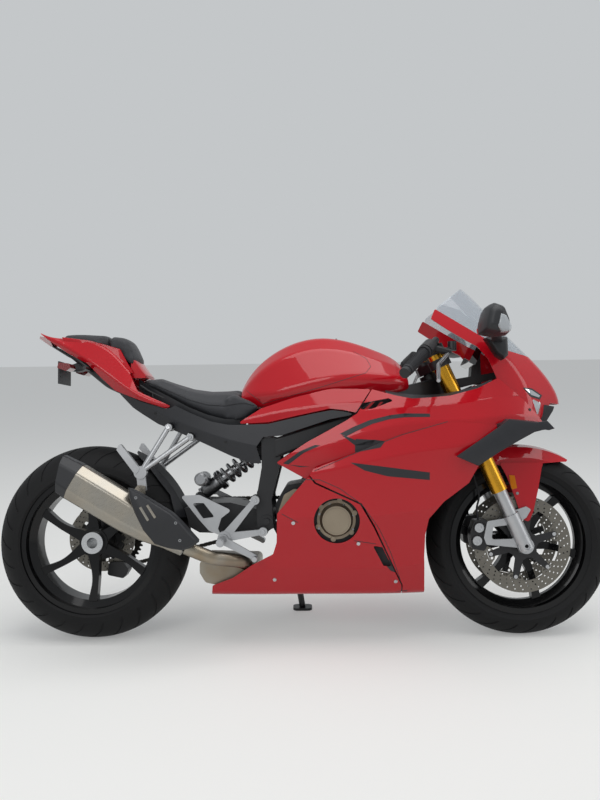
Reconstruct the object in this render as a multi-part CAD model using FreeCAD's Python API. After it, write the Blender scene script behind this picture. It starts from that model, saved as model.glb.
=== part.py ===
import FreeCAD, Part
import math
import os

# Sport motorcycle, parked on its side stand.
# Built upright: x forwards, y to the rider's left, z up, millimetres, x = 0 midway
# between the axles.  place() then leans it and moves it to its own origin.

LEAN = math.radians(7.0)
RAKE = math.radians(24.0)

# Wheels: outer radius, half width of the round crown, bead seat radius.
FRONT_TYRE_RADIUS = 300.0
FRONT_CROWN_RADIUS = 60.0
REAR_TYRE_RADIUS = 315.0
REAR_CROWN_RADIUS = 90.0
BEAD_RADIUS = 216.0
LIP_RADIUS = BEAD_RADIUS + 12.0
TYRE_WALL = 9.0
RIM_WALL = 6.0
SPOKE_COUNT = 6
FRONT_SPOKE_START = 47.0
REAR_SPOKE_START = 29.0

FRONT_AXLE_X = 697.5
PIVOT_X = -122.0
PIVOT_Z = 390.0
SWINGARM_REACH = 575.5

# Fork: places along the legs are measured from the front axle.
LEG_SPACING = 103.0
YOKE_OFFSET = 30.0
OUTER_TUBE_RADIUS = 26.5
INNER_TUBE_RADIUS = 21.0
OUTER_TUBE_LOW = 190.0
OUTER_TUBE_HIGH = 700.0
LOWER_YOKE_AT = 482.0
UPPER_YOKE_AT = 640.0
YOKE_HALF = 14.0
HEAD_TUBE_RADIUS = 33.0
STEM_RADIUS = 17.0
STEM_BORE_RADIUS = 9.0
FRONT_AXLE_RADIUS = 10.0
FRONT_AXLE_BORE = 6.0

FRONT_DISC_RADIUS = 155.0
FRONT_DISC_Y = 68.0
DISC_THICK = 4.5
REAR_DISC_RADIUS = 112.0
REAR_DISC_Y = 66.0
SPINDLE_RADIUS = 24.0
SPINDLE_BORE = 17.5

CHAIN_PITCH = 15.875
REAR_TEETH = 48
FRONT_TEETH = 15
CHAIN_Y = 160.0
SPROCKET_THICK = 6.0
FRONT_SPROCKET_X = -20.0
FRONT_SPROCKET_Z = 402.0

PANEL_WALL = 4.0
SCREEN_WALL = 3.5
RUN_CLEAR = 0.3
SEAT_CLEAR = 0.4
FIT_CLEAR = 0.2
DISC_CLEAR = 5.0
CUT_TOLERANCE = 0.001

STAND_PIVOT = (-62.0, 138.0, 252.0)
STAND_FOOT_X = -17.0
STAND_FOOT_Y = 250.0
STAND_TILT = math.radians(23.0)
STAND_RADIUS = 11.0


def axle_height(outer_radius, crown_radius):
    """Height of the axle at which the leaned tyre's round crown just meets the ground."""
    return outer_radius - crown_radius + crown_radius / math.cos(LEAN)


FRONT_AXLE_Z = axle_height(FRONT_TYRE_RADIUS, FRONT_CROWN_RADIUS)
REAR_AXLE_Z = axle_height(REAR_TYRE_RADIUS, REAR_CROWN_RADIUS)
REAR_AXLE_X = PIVOT_X - SWINGARM_REACH

ALONG_Y = FreeCAD.Vector(0, 1, 0)
FORK_UP = FreeCAD.Vector(-math.sin(RAKE), 0, math.cos(RAKE))
FORK_FRONT = FreeCAD.Vector(math.cos(RAKE), 0, math.sin(RAKE))


# Small makers of solids

def vec(x, y, z):
    return FreeCAD.Vector(x, y, z)


def in_side_view(y):
    """Turns side-view coordinates (x, z) into a point at the lateral place y."""
    return lambda u, v: vec(u, y, v)


def in_cross_section(x):
    return lambda u, v: vec(x, u, v)


def in_plan(z):
    return lambda u, v: vec(u, v, z)


def corner_wire(corners, to_space):
    """Closed wire through (u, v, radius) corners; a corner with a radius is turned by an arc."""
    count = len(corners)
    pieces = []
    for i in range(count):
        u, v, radius = corners[i]
        here = FreeCAD.Vector(u, v, 0)
        before = FreeCAD.Vector(corners[i - 1][0], corners[i - 1][1], 0) - here
        after_index = (i + 1) % count
        after = FreeCAD.Vector(corners[after_index][0], corners[after_index][1], 0) - here
        if radius <= 0:
            pieces.append((here, None, here))
            continue
        room = 0.45 * min(before.Length, after.Length)
        before.normalize()
        after.normalize()
        half = 0.5 * before.getAngle(after)
        reach = min(radius / math.tan(half), room)
        true_radius = reach * math.tan(half)
        middle = before + after
        middle.normalize()
        centre_gap = true_radius / math.sin(half)
        arc_mid = here + middle * (centre_gap - true_radius)
        pieces.append((here + before * reach, arc_mid, here + after * reach))
    edges = []
    for i in range(count):
        start, mid, end = pieces[i]
        if mid is not None:
            edges.append(Part.Arc(to_space(start.x, start.y), to_space(mid.x, mid.y),
                                  to_space(end.x, end.y)).toShape())
        following = pieces[(i + 1) % count][0]
        edges.append(Part.LineSegment(to_space(end.x, end.y),
                                      to_space(following.x, following.y)).toShape())
    return Part.Wire(edges)


def with_radius(points, radius):
    return [(u, v, radius) for u, v in points]


def plate(points, y_low, y_high, radius=0.0):
    """A flat plate of side-view outline, from one lateral place to another."""
    wire = corner_wire(with_radius(points, radius), in_side_view(y_low))
    return Part.Face(wire).extrude(vec(0, y_high - y_low, 0))


def rod(start, end, radius):
    run = end - start
    return Part.makeCylinder(radius, run.Length, start, run)


def pipe(start, end, radius, bore):
    return rod(start, end, radius).cut(rod(start, end, bore))


def disc(x, z, y_low, y_high, radius):
    return Part.makeCylinder(radius, y_high - y_low, vec(x, y_low, z), ALONG_Y)


def ring(x, z, y_low, y_high, radius, bore):
    return disc(x, z, y_low, y_high, radius).cut(disc(x, z, y_low, y_high, bore))


def block(x_low, x_high, y_low, y_high, z_low, z_high):
    return Part.makeBox(x_high - x_low, y_high - y_low, z_high - z_low,
                        vec(x_low, y_low, z_low))


def fuse(shapes):
    whole = shapes[0]
    if len(shapes) > 1:
        whole = whole.multiFuse(shapes[1:])
    return whole.removeSplitter()


def mirrored(shape):
    return shape.mirror(vec(0, 0, 0), ALONG_Y)


def pair(shape):
    """The piece and its mirror image on the other side of the motorcycle."""
    return Part.makeCompound([shape, mirrored(shape)])


def loft(wires, smooth=True):
    return Part.makeLoft(wires, True, not smooth, False, 3)


def offset_line(points, distance):
    """The open line of (u, v) points moved sideways, to its left, by distance."""
    moved = []
    last = len(points) - 1
    for i, (u, v) in enumerate(points):
        normals = []
        if i > 0:
            du, dv = u - points[i - 1][0], v - points[i - 1][1]
            length = math.hypot(du, dv)
            normals.append((-dv / length, du / length))
        if i < last:
            du, dv = points[i + 1][0] - u, points[i + 1][1] - v
            length = math.hypot(du, dv)
            normals.append((-dv / length, du / length))
        nu = sum(n[0] for n in normals) / len(normals)
        nv = sum(n[1] for n in normals) / len(normals)
        size = nu * nu + nv * nv
        moved.append((u + distance * nu / size, v + distance * nv / size))
    return moved


def strip_wire(points, wall, bend, to_space):
    """Section of a thin wall: the line of points, and the same line one wall to its left."""
    outer = [(u, v, bend) for u, v in points]
    inner = [(u, v, bend) for u, v in reversed(offset_line(points, wall))]
    for side in (outer, inner):
        side[0] = (side[0][0], side[0][1], 0.0)
        side[-1] = (side[-1][0], side[-1][1], 0.0)
    return corner_wire(outer + inner, to_space)


def skin(stations, wall, bend):
    """Thin wall lofted from front-to-back stations (x, [(y, z), ...]), bottom to top."""
    return loft([strip_wire(points, wall, bend, in_cross_section(x)) for x, points in stations])


def cut_to(shape, outline, y_low, y_high, radius=6.0):
    return shape.common(plate(outline, y_low, y_high, radius), CUT_TOLERANCE)


def bent_rod(points, radius, bend):
    """Round bar along points (vectors), straight runs joined by tangent arcs."""
    edges = []
    start = points[0]
    for i in range(1, len(points) - 1):
        here = points[i]
        before = points[i - 1] - here
        after = points[i + 1] - here
        room = 0.45 * min(before.Length, after.Length)
        before.normalize()
        after.normalize()
        half = 0.5 * before.getAngle(after)
        reach = min(bend / math.tan(half), room)
        middle = before + after
        middle.normalize()
        true_radius = reach * math.tan(half)
        arc_mid = here + middle * (true_radius / math.sin(half) - true_radius)
        edges.append(Part.LineSegment(start, here + before * reach).toShape())
        edges.append(Part.Arc(here + before * reach, arc_mid, here + after * reach).toShape())
        start = here + after * reach
    edges.append(Part.LineSegment(start, points[-1]).toShape())
    path = Part.Wire(edges)
    run = points[1] - points[0]
    section = Part.Wire(Part.makeCircle(radius, points[0], run))
    return path.makePipeShell([section], True, False)


def turned_profile(profile, x, z):
    """Ring turned about an axle at (x, z) from (y, radius) corners."""
    points = [vec(x, y, z + radius) for y, radius in profile]
    points.append(points[0])
    return Part.Face(Part.makePolygon(points)).revolve(vec(x, 0, z), ALONG_Y, 360)


# Wheels

def tyre(x, z, outer_radius, crown_radius, bead_half):
    """Round-crowned tyre: flats on the crown meet on the true round at the lean angle."""
    lean = math.degrees(LEAN)
    centre = outer_radius - crown_radius
    outer = []
    for angle in (lean, 33.0, 62.0):
        turn = math.radians(angle)
        outer.append((crown_radius * math.sin(turn), centre + crown_radius * math.cos(turn)))
    shoulder = (crown_radius * 0.96, centre + 0.22 * crown_radius)
    half = outer + [shoulder, (bead_half, LIP_RADIUS + 1.0), (bead_half, BEAD_RADIUS + RUN_CLEAR)]
    inner_bead = (bead_half - TYRE_WALL, BEAD_RADIUS + RUN_CLEAR)
    inner_shoulder = (shoulder[0] - TYRE_WALL, shoulder[1])
    inner_crown = (outer[1][0], outer[1][1] - 1.3 * TYRE_WALL)
    half += [inner_bead, inner_shoulder, inner_crown]
    left = half[::-1]
    right = [(-y, radius) for y, radius in half]
    return turned_profile(left + right, x, z)


def spoke(x, z, start, hub_radius, rim_radius, half_root, half_tip, y_low, y_high):
    """One cast spoke, bowed forwards on its way out to the rim."""
    bow = 10.0
    mid = 0.5 * (hub_radius + rim_radius)
    corners = [(hub_radius - 8.0, -half_root, 0.0), (mid, -half_tip + bow, 160.0),
               (rim_radius + 3.0, -half_tip * 1.6, 0.0), (rim_radius + 3.0, half_tip * 1.6, 0.0),
               (mid, half_tip + bow, 160.0), (hub_radius - 8.0, half_root, 0.0)]
    wire = corner_wire(corners, lambda u, v: vec(x + u, y_low, z + v))
    solid = Part.Face(wire).extrude(vec(0, y_high - y_low, 0))
    solid.rotate(vec(x, 0, z), ALONG_Y, -start)
    return solid


def rim(x, z, bead_half, spoke_start, hub_radius, hub_low, hub_high, bore, spoke_low, spoke_high):
    lip = LIP_RADIUS
    well = BEAD_RADIUS - 22.0
    flange = bead_half + RIM_WALL
    outer = [(-flange, lip), (-bead_half - RUN_CLEAR, lip), (-bead_half - RUN_CLEAR, BEAD_RADIUS),
             (-bead_half + 22.0, BEAD_RADIUS), (-bead_half + 34.0, well), (bead_half - 34.0, well),
             (bead_half - 22.0, BEAD_RADIUS), (bead_half + RUN_CLEAR, BEAD_RADIUS),
             (bead_half + RUN_CLEAR, lip), (flange, lip)]
    inner = [(flange, BEAD_RADIUS - RIM_WALL), (bead_half - 22.0, BEAD_RADIUS - RIM_WALL),
             (bead_half - 36.0, well - RIM_WALL), (-bead_half + 36.0, well - RIM_WALL),
             (-bead_half + 22.0, BEAD_RADIUS - RIM_WALL), (-flange, BEAD_RADIUS - RIM_WALL)]
    pieces = [turned_profile(outer + inner, x, z)]
    pieces.append(disc(x, z, hub_low, hub_high, hub_radius))
    for i in range(SPOKE_COUNT):
        start = spoke_start + i * 360.0 / SPOKE_COUNT
        pieces.append(spoke(x, z, start, hub_radius, well - RIM_WALL, 19.0, 9.0,
                            spoke_low, spoke_high))
    return fuse(pieces).cut(disc(x, z, hub_low - 1, hub_high + 1, bore))


def brake_disc(x, z, y, radius, band, hub_radius, bore):
    """Ring and six-armed carrier of a brake disc, flat on the hub's face."""
    low, high = y - DISC_THICK / 2, y + DISC_THICK / 2
    pieces = [ring(x, z, low, high, radius, radius - band)]
    pieces.append(disc(x, z, low, high, hub_radius))
    for i in range(SPOKE_COUNT):
        arm = block(x + hub_radius - 4, x + radius - band + 4, low, high, z - 7, z + 7)
        arm.rotate(vec(x, 0, z), ALONG_Y, -i * 360.0 / SPOKE_COUNT)
        pieces.append(arm)
    return fuse(pieces).cut(disc(x, z, low - 1, high + 1, bore))


def sprocket(x, z, y, teeth, bore):
    """Toothed wheel with flat-topped teeth between round roots."""
    pitch_radius = CHAIN_PITCH / (2 * math.sin(math.pi / teeth))
    tip, root = pitch_radius + 3.5, pitch_radius - 5.0
    corners = []
    for i in range(teeth):
        middle = (i + 0.5) * 2 * math.pi / teeth
        for radius, share in ((root, -0.34), (tip, -0.12), (tip, 0.12), (root, 0.34)):
            angle = middle + share * 2 * math.pi / teeth
            corners.append((x + radius * math.cos(angle), z + radius * math.sin(angle)))
    return plate(corners, y - SPROCKET_THICK / 2, y + SPROCKET_THICK / 2).cut(
        disc(x, z, y - SPROCKET_THICK, y + SPROCKET_THICK, bore))


FRONT_BEAD_HALF = 46.0
REAR_BEAD_HALF = 72.0
FRONT_HUB_HALF = FRONT_DISC_Y - DISC_THICK / 2
REAR_HUB_RIGHT = -44.0
REAR_HUB_LEFT = REAR_DISC_Y - DISC_THICK / 2


def front_wheel_pieces():
    x, z = FRONT_AXLE_X, FRONT_AXLE_Z
    bore = FRONT_AXLE_RADIUS + RUN_CLEAR
    discs = brake_disc(x, z, FRONT_DISC_Y, FRONT_DISC_RADIUS, 36.0, 38.0, 24.0)
    return {
        "front_tyre": tyre(x, z, FRONT_TYRE_RADIUS, FRONT_CROWN_RADIUS, FRONT_BEAD_HALF),
        "front_rim": rim(x, z, FRONT_BEAD_HALF, FRONT_SPOKE_START, 36.0, -FRONT_HUB_HALF,
                         FRONT_HUB_HALF, bore, -17.0, 17.0),
        "front_brake_discs": pair(discs),
    }


def rear_wheel_pieces():
    x, z = REAR_AXLE_X, REAR_AXLE_Z
    spindle_end = CHAIN_Y + 14.0
    bore = SPINDLE_RADIUS + FIT_CLEAR
    nut = ring(x, z, REAR_HUB_RIGHT - 16.0, REAR_HUB_RIGHT, 35.0, SPINDLE_BORE)
    spindle = pipe(vec(x, REAR_HUB_RIGHT, z), vec(x, spindle_end, z),
                   SPINDLE_RADIUS, SPINDLE_BORE)
    sprocket_face = CHAIN_Y - SPROCKET_THICK / 2
    carrier = disc(x, z, sprocket_face - 8.0, sprocket_face, 56.0)
    hub = disc(x, z, sprocket_face, sprocket_face + SPROCKET_THICK, 60.0)
    toothed = fuse([sprocket(x, z, CHAIN_Y, REAR_TEETH, 40.0), hub, carrier])
    return {
        "rear_tyre": tyre(x, z, REAR_TYRE_RADIUS, REAR_CROWN_RADIUS, REAR_BEAD_HALF),
        "rear_rim": rim(x, z, REAR_BEAD_HALF, REAR_SPOKE_START, 46.0, REAR_HUB_RIGHT,
                        REAR_HUB_LEFT, bore, -40.0, -8.0),
        "rear_brake_disc": brake_disc(x, z, REAR_DISC_Y, REAR_DISC_RADIUS, 30.0, 44.0, bore),
        "rear_sprocket": toothed.cut(disc(x, z, 0, spindle_end, bore)),
        "wheel_spindle": fuse([nut, spindle]),
    }


# Fork and what turns with it

def leg_point(along, y, forward=0.0):
    """Point on the fork: along the legs from the axle, forward square to them."""
    return vec(FRONT_AXLE_X, y, FRONT_AXLE_Z) + FORK_UP * along + FORK_FRONT * forward


def yoke(at, reach_y):
    """Fork yoke: a web from the stem out to both leg clamps, bored for the legs."""
    low = at - YOKE_HALF
    outline = [(20.0, -reach_y), (20.0, reach_y), (-24.0, reach_y - 6.0),
               (-YOKE_OFFSET - 32.0, 26.0), (-YOKE_OFFSET - 32.0, -26.0), (-24.0, -reach_y + 6.0)]
    wire = corner_wire(with_radius(outline, 12.0),
                       lambda u, v: leg_point(low, v, u))
    web = Part.Face(wire).extrude(FORK_UP * (2 * YOKE_HALF))
    clamps = [rod(leg_point(low, side * LEG_SPACING), leg_point(at + YOKE_HALF, side * LEG_SPACING),
                  OUTER_TUBE_RADIUS + 9.0) for side in (-1, 1)]
    bores = [rod(leg_point(low - 5, side * LEG_SPACING),
                 leg_point(at + YOKE_HALF + 5, side * LEG_SPACING),
                 OUTER_TUBE_RADIUS + FIT_CLEAR) for side in (-1, 1)]
    return fuse([web] + clamps).cut(Part.makeCompound(bores))


CALIPER_AT = (-141.0, 34.0)


def caliper():
    """Radial four-piston caliper behind the left leg, open over the disc."""
    cx, cz = FRONT_AXLE_X + CALIPER_AT[0], FRONT_AXLE_Z + CALIPER_AT[1]
    outline = [(cx - 26, cz - 44), (cx + 14, cz - 52), (cx + 26, cz - 30), (cx + 26, cz + 30),
               (cx + 22, cz + 50), (cx - 16, cz + 46), (cx - 30, cz + 10)]
    inner, outer = FRONT_DISC_Y - 24.0, FRONT_DISC_Y + 26.0
    body = plate(outline, inner, outer, 8.0)
    gap = disc(FRONT_AXLE_X, FRONT_AXLE_Z, FRONT_DISC_Y - DISC_THICK / 2 - DISC_CLEAR,
               FRONT_DISC_Y + DISC_THICK / 2 + DISC_CLEAR, FRONT_DISC_RADIUS + DISC_CLEAR)
    caps = [disc(cx + dx, cz + dz, outer - 2.0, outer + 4.0, 13.0)
            for dx, dz in ((-4.0, 20.0), (-12.0, -20.0))]
    return fuse([body.cut(gap)] + caps)


def fork_lower():
    """Inner tube in its cast end: axle clamp and the open triangle that holds the caliper."""
    inner, outer = LEG_SPACING - 13.0, LEG_SPACING + 14.0
    clamp = disc(FRONT_AXLE_X, FRONT_AXLE_Z, inner, outer, 25.0)
    socket = rod(leg_point(-12, LEG_SPACING), leg_point(108, LEG_SPACING), INNER_TUBE_RADIUS + 5.0)
    cx, cz = FRONT_AXLE_X + CALIPER_AT[0], FRONT_AXLE_Z + CALIPER_AT[1]
    low, high = LEG_SPACING - 9.0, LEG_SPACING + 5.0
    arm_outline = [(FRONT_AXLE_X + 8, FRONT_AXLE_Z - 10), (cx + 18, cz - 30), (cx + 10, cz - 8),
                   (cx + 22, cz + 44), (FRONT_AXLE_X - 30, FRONT_AXLE_Z + 92),
                   (FRONT_AXLE_X - 6, FRONT_AXLE_Z + 70)]
    window = [(FRONT_AXLE_X - 34, FRONT_AXLE_Z + 22), (cx + 34, cz - 14), (cx + 40, cz + 26),
              (FRONT_AXLE_X - 46, FRONT_AXLE_Z + 66)]
    arm = plate(arm_outline, low, high, 6.0).cut(plate(window, low - 5, high + 5, 8.0))
    tube = rod(leg_point(45, LEG_SPACING), leg_point(300, LEG_SPACING), INNER_TUBE_RADIUS)
    x, z = FRONT_AXLE_X, FRONT_AXLE_Z
    fender_lug = plate([(x - 34, z + 60), (x + 10, z + 86), (x + 26, z + 112), (x + 10, z + 122),
                        (x - 44, z + 104)], CHEEK_Y + SEAT_CLEAR, CHEEK_Y + 9.0, 5.0)
    solid = fuse([clamp, socket, arm, tube, fender_lug])
    return solid.cut(disc(x, z, inner - 20, outer + 20, FRONT_AXLE_RADIUS + FIT_CLEAR))


def fork_pieces():
    stem_low, stem_high = LOWER_YOKE_AT - YOKE_HALF, UPPER_YOKE_AT + YOKE_HALF + 12.0
    stem = rod(leg_point(stem_low - 10, 0, -YOKE_OFFSET), leg_point(stem_high, 0, -YOKE_OFFSET),
               STEM_RADIUS)
    nut = rod(leg_point(UPPER_YOKE_AT + YOKE_HALF, 0, -YOKE_OFFSET),
              leg_point(stem_high, 0, -YOKE_OFFSET), STEM_RADIUS + 7)
    bore = rod(leg_point(stem_low - 15, 0, -YOKE_OFFSET), leg_point(stem_high + 5, 0, -YOKE_OFFSET),
               STEM_BORE_RADIUS)
    yokes = fuse([yoke(LOWER_YOKE_AT, LEG_SPACING), yoke(UPPER_YOKE_AT, LEG_SPACING), stem, nut])
    bore_radius = INNER_TUBE_RADIUS + FIT_CLEAR
    outer_tube = pipe(leg_point(OUTER_TUBE_LOW, LEG_SPACING),
                      leg_point(OUTER_TUBE_HIGH, LEG_SPACING), OUTER_TUBE_RADIUS, bore_radius)
    cap = rod(leg_point(OUTER_TUBE_HIGH - 12, LEG_SPACING), leg_point(OUTER_TUBE_HIGH, LEG_SPACING),
              bore_radius)
    axle = pipe(vec(FRONT_AXLE_X, -LEG_SPACING - 20, FRONT_AXLE_Z),
                vec(FRONT_AXLE_X, LEG_SPACING + 20, FRONT_AXLE_Z),
                FRONT_AXLE_RADIUS, FRONT_AXLE_BORE)
    return {
        "fork_yokes": yokes.cut(bore),
        "fork_outer_tubes": pair(fuse([outer_tube, cap])),
        "fork_lower_legs": pair(fork_lower()),
        "front_brake_calipers": pair(caliper()),
        "front_axle": axle,
        "front_fender": front_fender(),
        "handlebars": handlebars(),
        "hand_grips": hand_grips(),
        "hand_levers": hand_levers(),
    }


FENDER_GAP = 11.0
FENDER_HALF = 71.0
CHEEK_Y = 79.5


def front_fender():
    """Fender shell over the tyre, with a cheek down to each fork leg."""
    x, z = FRONT_AXLE_X, FRONT_AXLE_Z
    inside = FRONT_TYRE_RADIUS + FENDER_GAP
    outside = inside + 3.0
    edge = 46.0
    profile = [(0.0, outside + 6), (edge, outside - 2), (FENDER_HALF, outside - 36),
               (FENDER_HALF, outside - 62), (FENDER_HALF - 3, outside - 62),
               (FENDER_HALF - 3, inside - 36), (edge - 1, inside - 2), (0.0, inside + 6)]
    arch = turned_profile(profile, x, z)
    arch = fuse([arch, mirrored(arch)])
    top_outline = [(x + 168, z + 262), (x + 126, z + 330), (x + 20, z + 350), (x - 120, z + 330),
                   (x - 205, z + 255), (x - 196, z + 215), (x - 98, z + 262), (x - 40, z + 245),
                   (x + 60, z + 258), (x + 120, z + 262)]
    arch = cut_to(arch, top_outline, -200, 200, 10.0)
    cheek_outline = [(x - 60, z + 244), (x - 46, z + 215), (x - 22, z + 149), (x - 4, z + 90),
                     (x + 4, z + 78), (x + 21, z + 72), (x + 36, z + 106), (x + 52, z + 172),
                     (x + 64, z + 234), (x + 66, z + 250), (x + 20, z + 260)]
    cheek = plate(cheek_outline, CHEEK_Y - 3.0, CHEEK_Y, 8.0)
    shoulder = plate([(x - 70, z + 262), (x - 52, z + 228), (x + 60, z + 228), (x + 72, z + 262)],
                     FENDER_HALF - 3.0, CHEEK_Y, 6.0)
    return fuse([arch, cheek, mirrored(cheek), shoulder, mirrored(shoulder)])


BAR_RADIUS = 11.0
BAR_CLAMP_AT = 684.0
BAR_OUTER = (300.0, -340.0, 841.0)


def along_bar(share):
    """Point on the right handlebar, from its root above the leg (0) to the bar end (1)."""
    root = leg_point(712.0, -LEG_SPACING - 30.0, 16.0)
    return root + (vec(*BAR_OUTER) - root) * share


def handlebars():
    """Bar of each hand on the clamp that holds it to the leg above the yoke."""
    bar = rod(along_bar(0.0), along_bar(1.0), BAR_RADIUS)
    low, high = BAR_CLAMP_AT - 14.0, BAR_CLAMP_AT + 14.0
    clamp = rod(leg_point(low, -LEG_SPACING), leg_point(high, -LEG_SPACING),
                OUTER_TUBE_RADIUS + 8.0)
    neck = rod(leg_point(BAR_CLAMP_AT + 2.0, -LEG_SPACING - 6.0, 8.0), along_bar(0.06), 13.0)
    bore = rod(leg_point(low - 5.0, -LEG_SPACING), leg_point(high + 3.0, -LEG_SPACING),
               OUTER_TUBE_RADIUS + FIT_CLEAR)
    weight = rod(along_bar(0.99), along_bar(1.05), BAR_RADIUS + 5.0)
    return pair(fuse([bar, clamp, neck, weight]).cut(bore))


def hand_grips():
    grip = rod(along_bar(0.44), along_bar(0.98), BAR_RADIUS + 6.0)
    collar = rod(along_bar(0.40), along_bar(0.44), BAR_RADIUS + 11.0)
    hollow = rod(along_bar(0.38), along_bar(1.0), BAR_RADIUS + FIT_CLEAR)
    return pair(fuse([grip, collar]).cut(hollow))


def hand_levers():
    """Switch block, cylinder with its fluid pot, and the bent lever of each hand."""
    switch = rod(along_bar(0.20), along_bar(0.385), BAR_RADIUS + 12.0)
    knuckle = along_bar(0.25) + vec(66, 16, -15)
    cylinder = rod(along_bar(0.24), knuckle, 11.0)
    middle = along_bar(0.55) + vec(56, 7, -25)
    tip = along_bar(0.93) + vec(88, 0, -35)
    lever = bent_rod([knuckle + vec(3, 6, 3), middle, tip], 5.5, 60.0)
    pot_foot = along_bar(0.16) + vec(70, 32, -17)
    pot = Part.makeCylinder(14.0, 30.0, pot_foot, vec(0, 0, 1))
    stalk = rod(pot_foot + vec(0, 0, 8), along_bar(0.25) + vec(40, 10, -8), 6.0)
    hollow = rod(along_bar(-0.1), along_bar(1.0), BAR_RADIUS + FIT_CLEAR)
    return pair(fuse([switch, cylinder, lever, pot, stalk]).cut(hollow))


# Chassis

SPAR_Y = 150.0
PIVOT_SHAFT_RADIUS = 10.0
HANGER_BOLTS = ((-156.0, 459.0), (-132.0, 361.0))
PASSENGER_BOLTS = ((-431.0, 689.0), (-363.0, 657.0))
HEAD_LOW_AT = LOWER_YOKE_AT + YOKE_HALF + 3.0
HEAD_HIGH_AT = UPPER_YOKE_AT - YOKE_HALF - 3.0


def box_section(x, y_in, y_out, z_low, z_high):
    corners = with_radius([(y_in, z_low), (y_out, z_low), (y_out, z_high), (y_in, z_high)], 9.0)
    return corner_wire(corners, in_cross_section(x))


def main_frame():
    """Twin-spar frame: head tube, spars, pivot beams and the tubes that cross between them."""
    head = rod(leg_point(HEAD_LOW_AT, 0, -YOKE_OFFSET), leg_point(HEAD_HIGH_AT, 0, -YOKE_OFFSET),
               HEAD_TUBE_RADIUS)
    head_x = leg_point(HEAD_LOW_AT, 0, -YOKE_OFFSET).x
    stations = [(head_x + 12, 8, 40, 752, 852), (260, 96, 136, 712, 800),
                (160, 128, 160, 668, 728), (40, 128, 160, 634, 692), (-92, 122, 154, 588, 652)]
    spar = loft([box_section(*row) for row in stations], smooth=False)
    beam = plate([(-68, 655), (-136, 650), (-136, 560), (-155, 455), (-151, 372), (-126, 352),
                  (-100, 372), (-106, 460), (-80, 560)], 122.0, SPAR_Y, 10.0)
    lug = disc(PIVOT_X, PIVOT_Z, 118.0, SPAR_Y + 4.0, 20.0)
    hanger_lugs = [disc(x, z, 124.0, SPAR_Y, 15.0) for x, z in HANGER_BOLTS]
    side = fuse([spar, beam, lug] + hanger_lugs)
    top_x, top_z = SHOCK_TOP
    cross_high = rod(vec(-104, -126, 610), vec(-104, 126, 610), 17.0)
    cross_low = rod(vec(-128, -126, 452), vec(-128, 126, 452), 15.0)
    ear = plate([(-100, 624), (-100, 598), (top_x, top_z - 14), (top_x - 14, top_z),
                 (top_x, top_z + 14)], SHOCK_EYE_HALF + RUN_CLEAR, 22.0, 4.0)
    bolt = disc(top_x, top_z, -22.0, 22.0, 6.0)
    shaft = disc(PIVOT_X, PIVOT_Z, -SPAR_Y - 12.0, SPAR_Y + 12.0, PIVOT_SHAFT_RADIUS)
    whole = fuse([head, side, mirrored(side), cross_high, cross_low, ear, mirrored(ear), bolt,
                  shaft, stand_hinge()])
    stem_space = rod(leg_point(HEAD_LOW_AT - 20, 0, -YOKE_OFFSET),
                     leg_point(HEAD_HIGH_AT + 20, 0, -YOKE_OFFSET), STEM_RADIUS + RUN_CLEAR)
    return whole.cut(stem_space)


TAIL_TUBE = ((-80.0, 112.0, 638.0), (-330.0, 104.0, 690.0), (-640.0, 62.0, 832.0),
             (-760.0, 50.0, 930.0))
TAIL_TUBE_RADIUS = 12.0


def on_tail_tube(x):
    """Point on the middle of the left tube of the rear frame at the length x."""
    for (x0, y0, z0), (x1, y1, z1) in zip(TAIL_TUBE, TAIL_TUBE[1:]):
        if x1 <= x <= x0:
            share = (x - x0) / (x1 - x0)
            return vec(x, y0 + share * (y1 - y0), z0 + share * (z1 - z0))
    raise ValueError("no tube at that length")


def rear_frame():
    """Rear frame: rising tubes, cross tubes, the seat's tray and lugs for the foot hangers."""
    tube = bent_rod([vec(*point) for point in TAIL_TUBE], TAIL_TUBE_RADIUS, 120.0)
    sides = [tube]
    for x, z in PASSENGER_BOLTS:
        root = on_tail_tube(x)
        sides.append(block(x - 9, x + 9, root.y - 6, root.y + 6, z - 8, root.z))
        sides.append(disc(x, z, root.y - 6, HANGER_FACE_Y, 12.0))
    for x in (-290.0, -413.0, -492.0):
        root = on_tail_tube(x)
        sides.append(rod(root, vec(x, root.y, seat_floor(x) - TRAY_THICK), 5.0))
    crosses = []
    for x in (-330.0, -520.0, -735.0):
        root = on_tail_tube(x)
        crosses.append(rod(vec(x, -root.y, root.z), root, 9.0))
    return fuse(sides + [mirrored(side) for side in sides] + crosses + [seat_tray()])


def engine():
    """Engine block with gearbox, sump and the two cylinders leaning forwards."""
    case = plate([(-88, 330), (-60, 262), (40, 236), (200, 236), (262, 300), (268, 420),
                  (200, 500), (60, 520), (-60, 500), (-96, 440)], -112.0, 112.0, 22.0)
    sump = plate([(0, 240), (20, 196), (190, 196), (215, 240)], -80.0, 80.0, 14.0)
    cylinders = plate([(90, 500), (232, 430), (338, 590), (322, 640), (210, 690), (170, 668)],
                      -118.0, 118.0, 14.0)
    right_case = plate([(10, 330), (60, 300), (150, 310), (190, 380), (170, 470), (80, 492),
                        (10, 460)], -172.0, -110.0, 24.0)
    left_case = mirrored(right_case)
    outlet = plate([(-70, 350), (-10, 350), (24, 400), (10, 480), (-50, 480), (-82, 430)],
                   -150.0, -110.0, 16.0)
    solid = fuse([case, sump, cylinders, right_case, left_case, outlet])
    sprocket_space = disc(FRONT_SPROCKET_X, FRONT_SPROCKET_Z, CHAIN_Y - 12.0, 200.0, 54.0)
    output_shaft = disc(FRONT_SPROCKET_X, FRONT_SPROCKET_Z, 100.0, CHAIN_Y - 6.0, 14.0)
    return fuse([solid.cut(sprocket_space), output_shaft])


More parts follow.
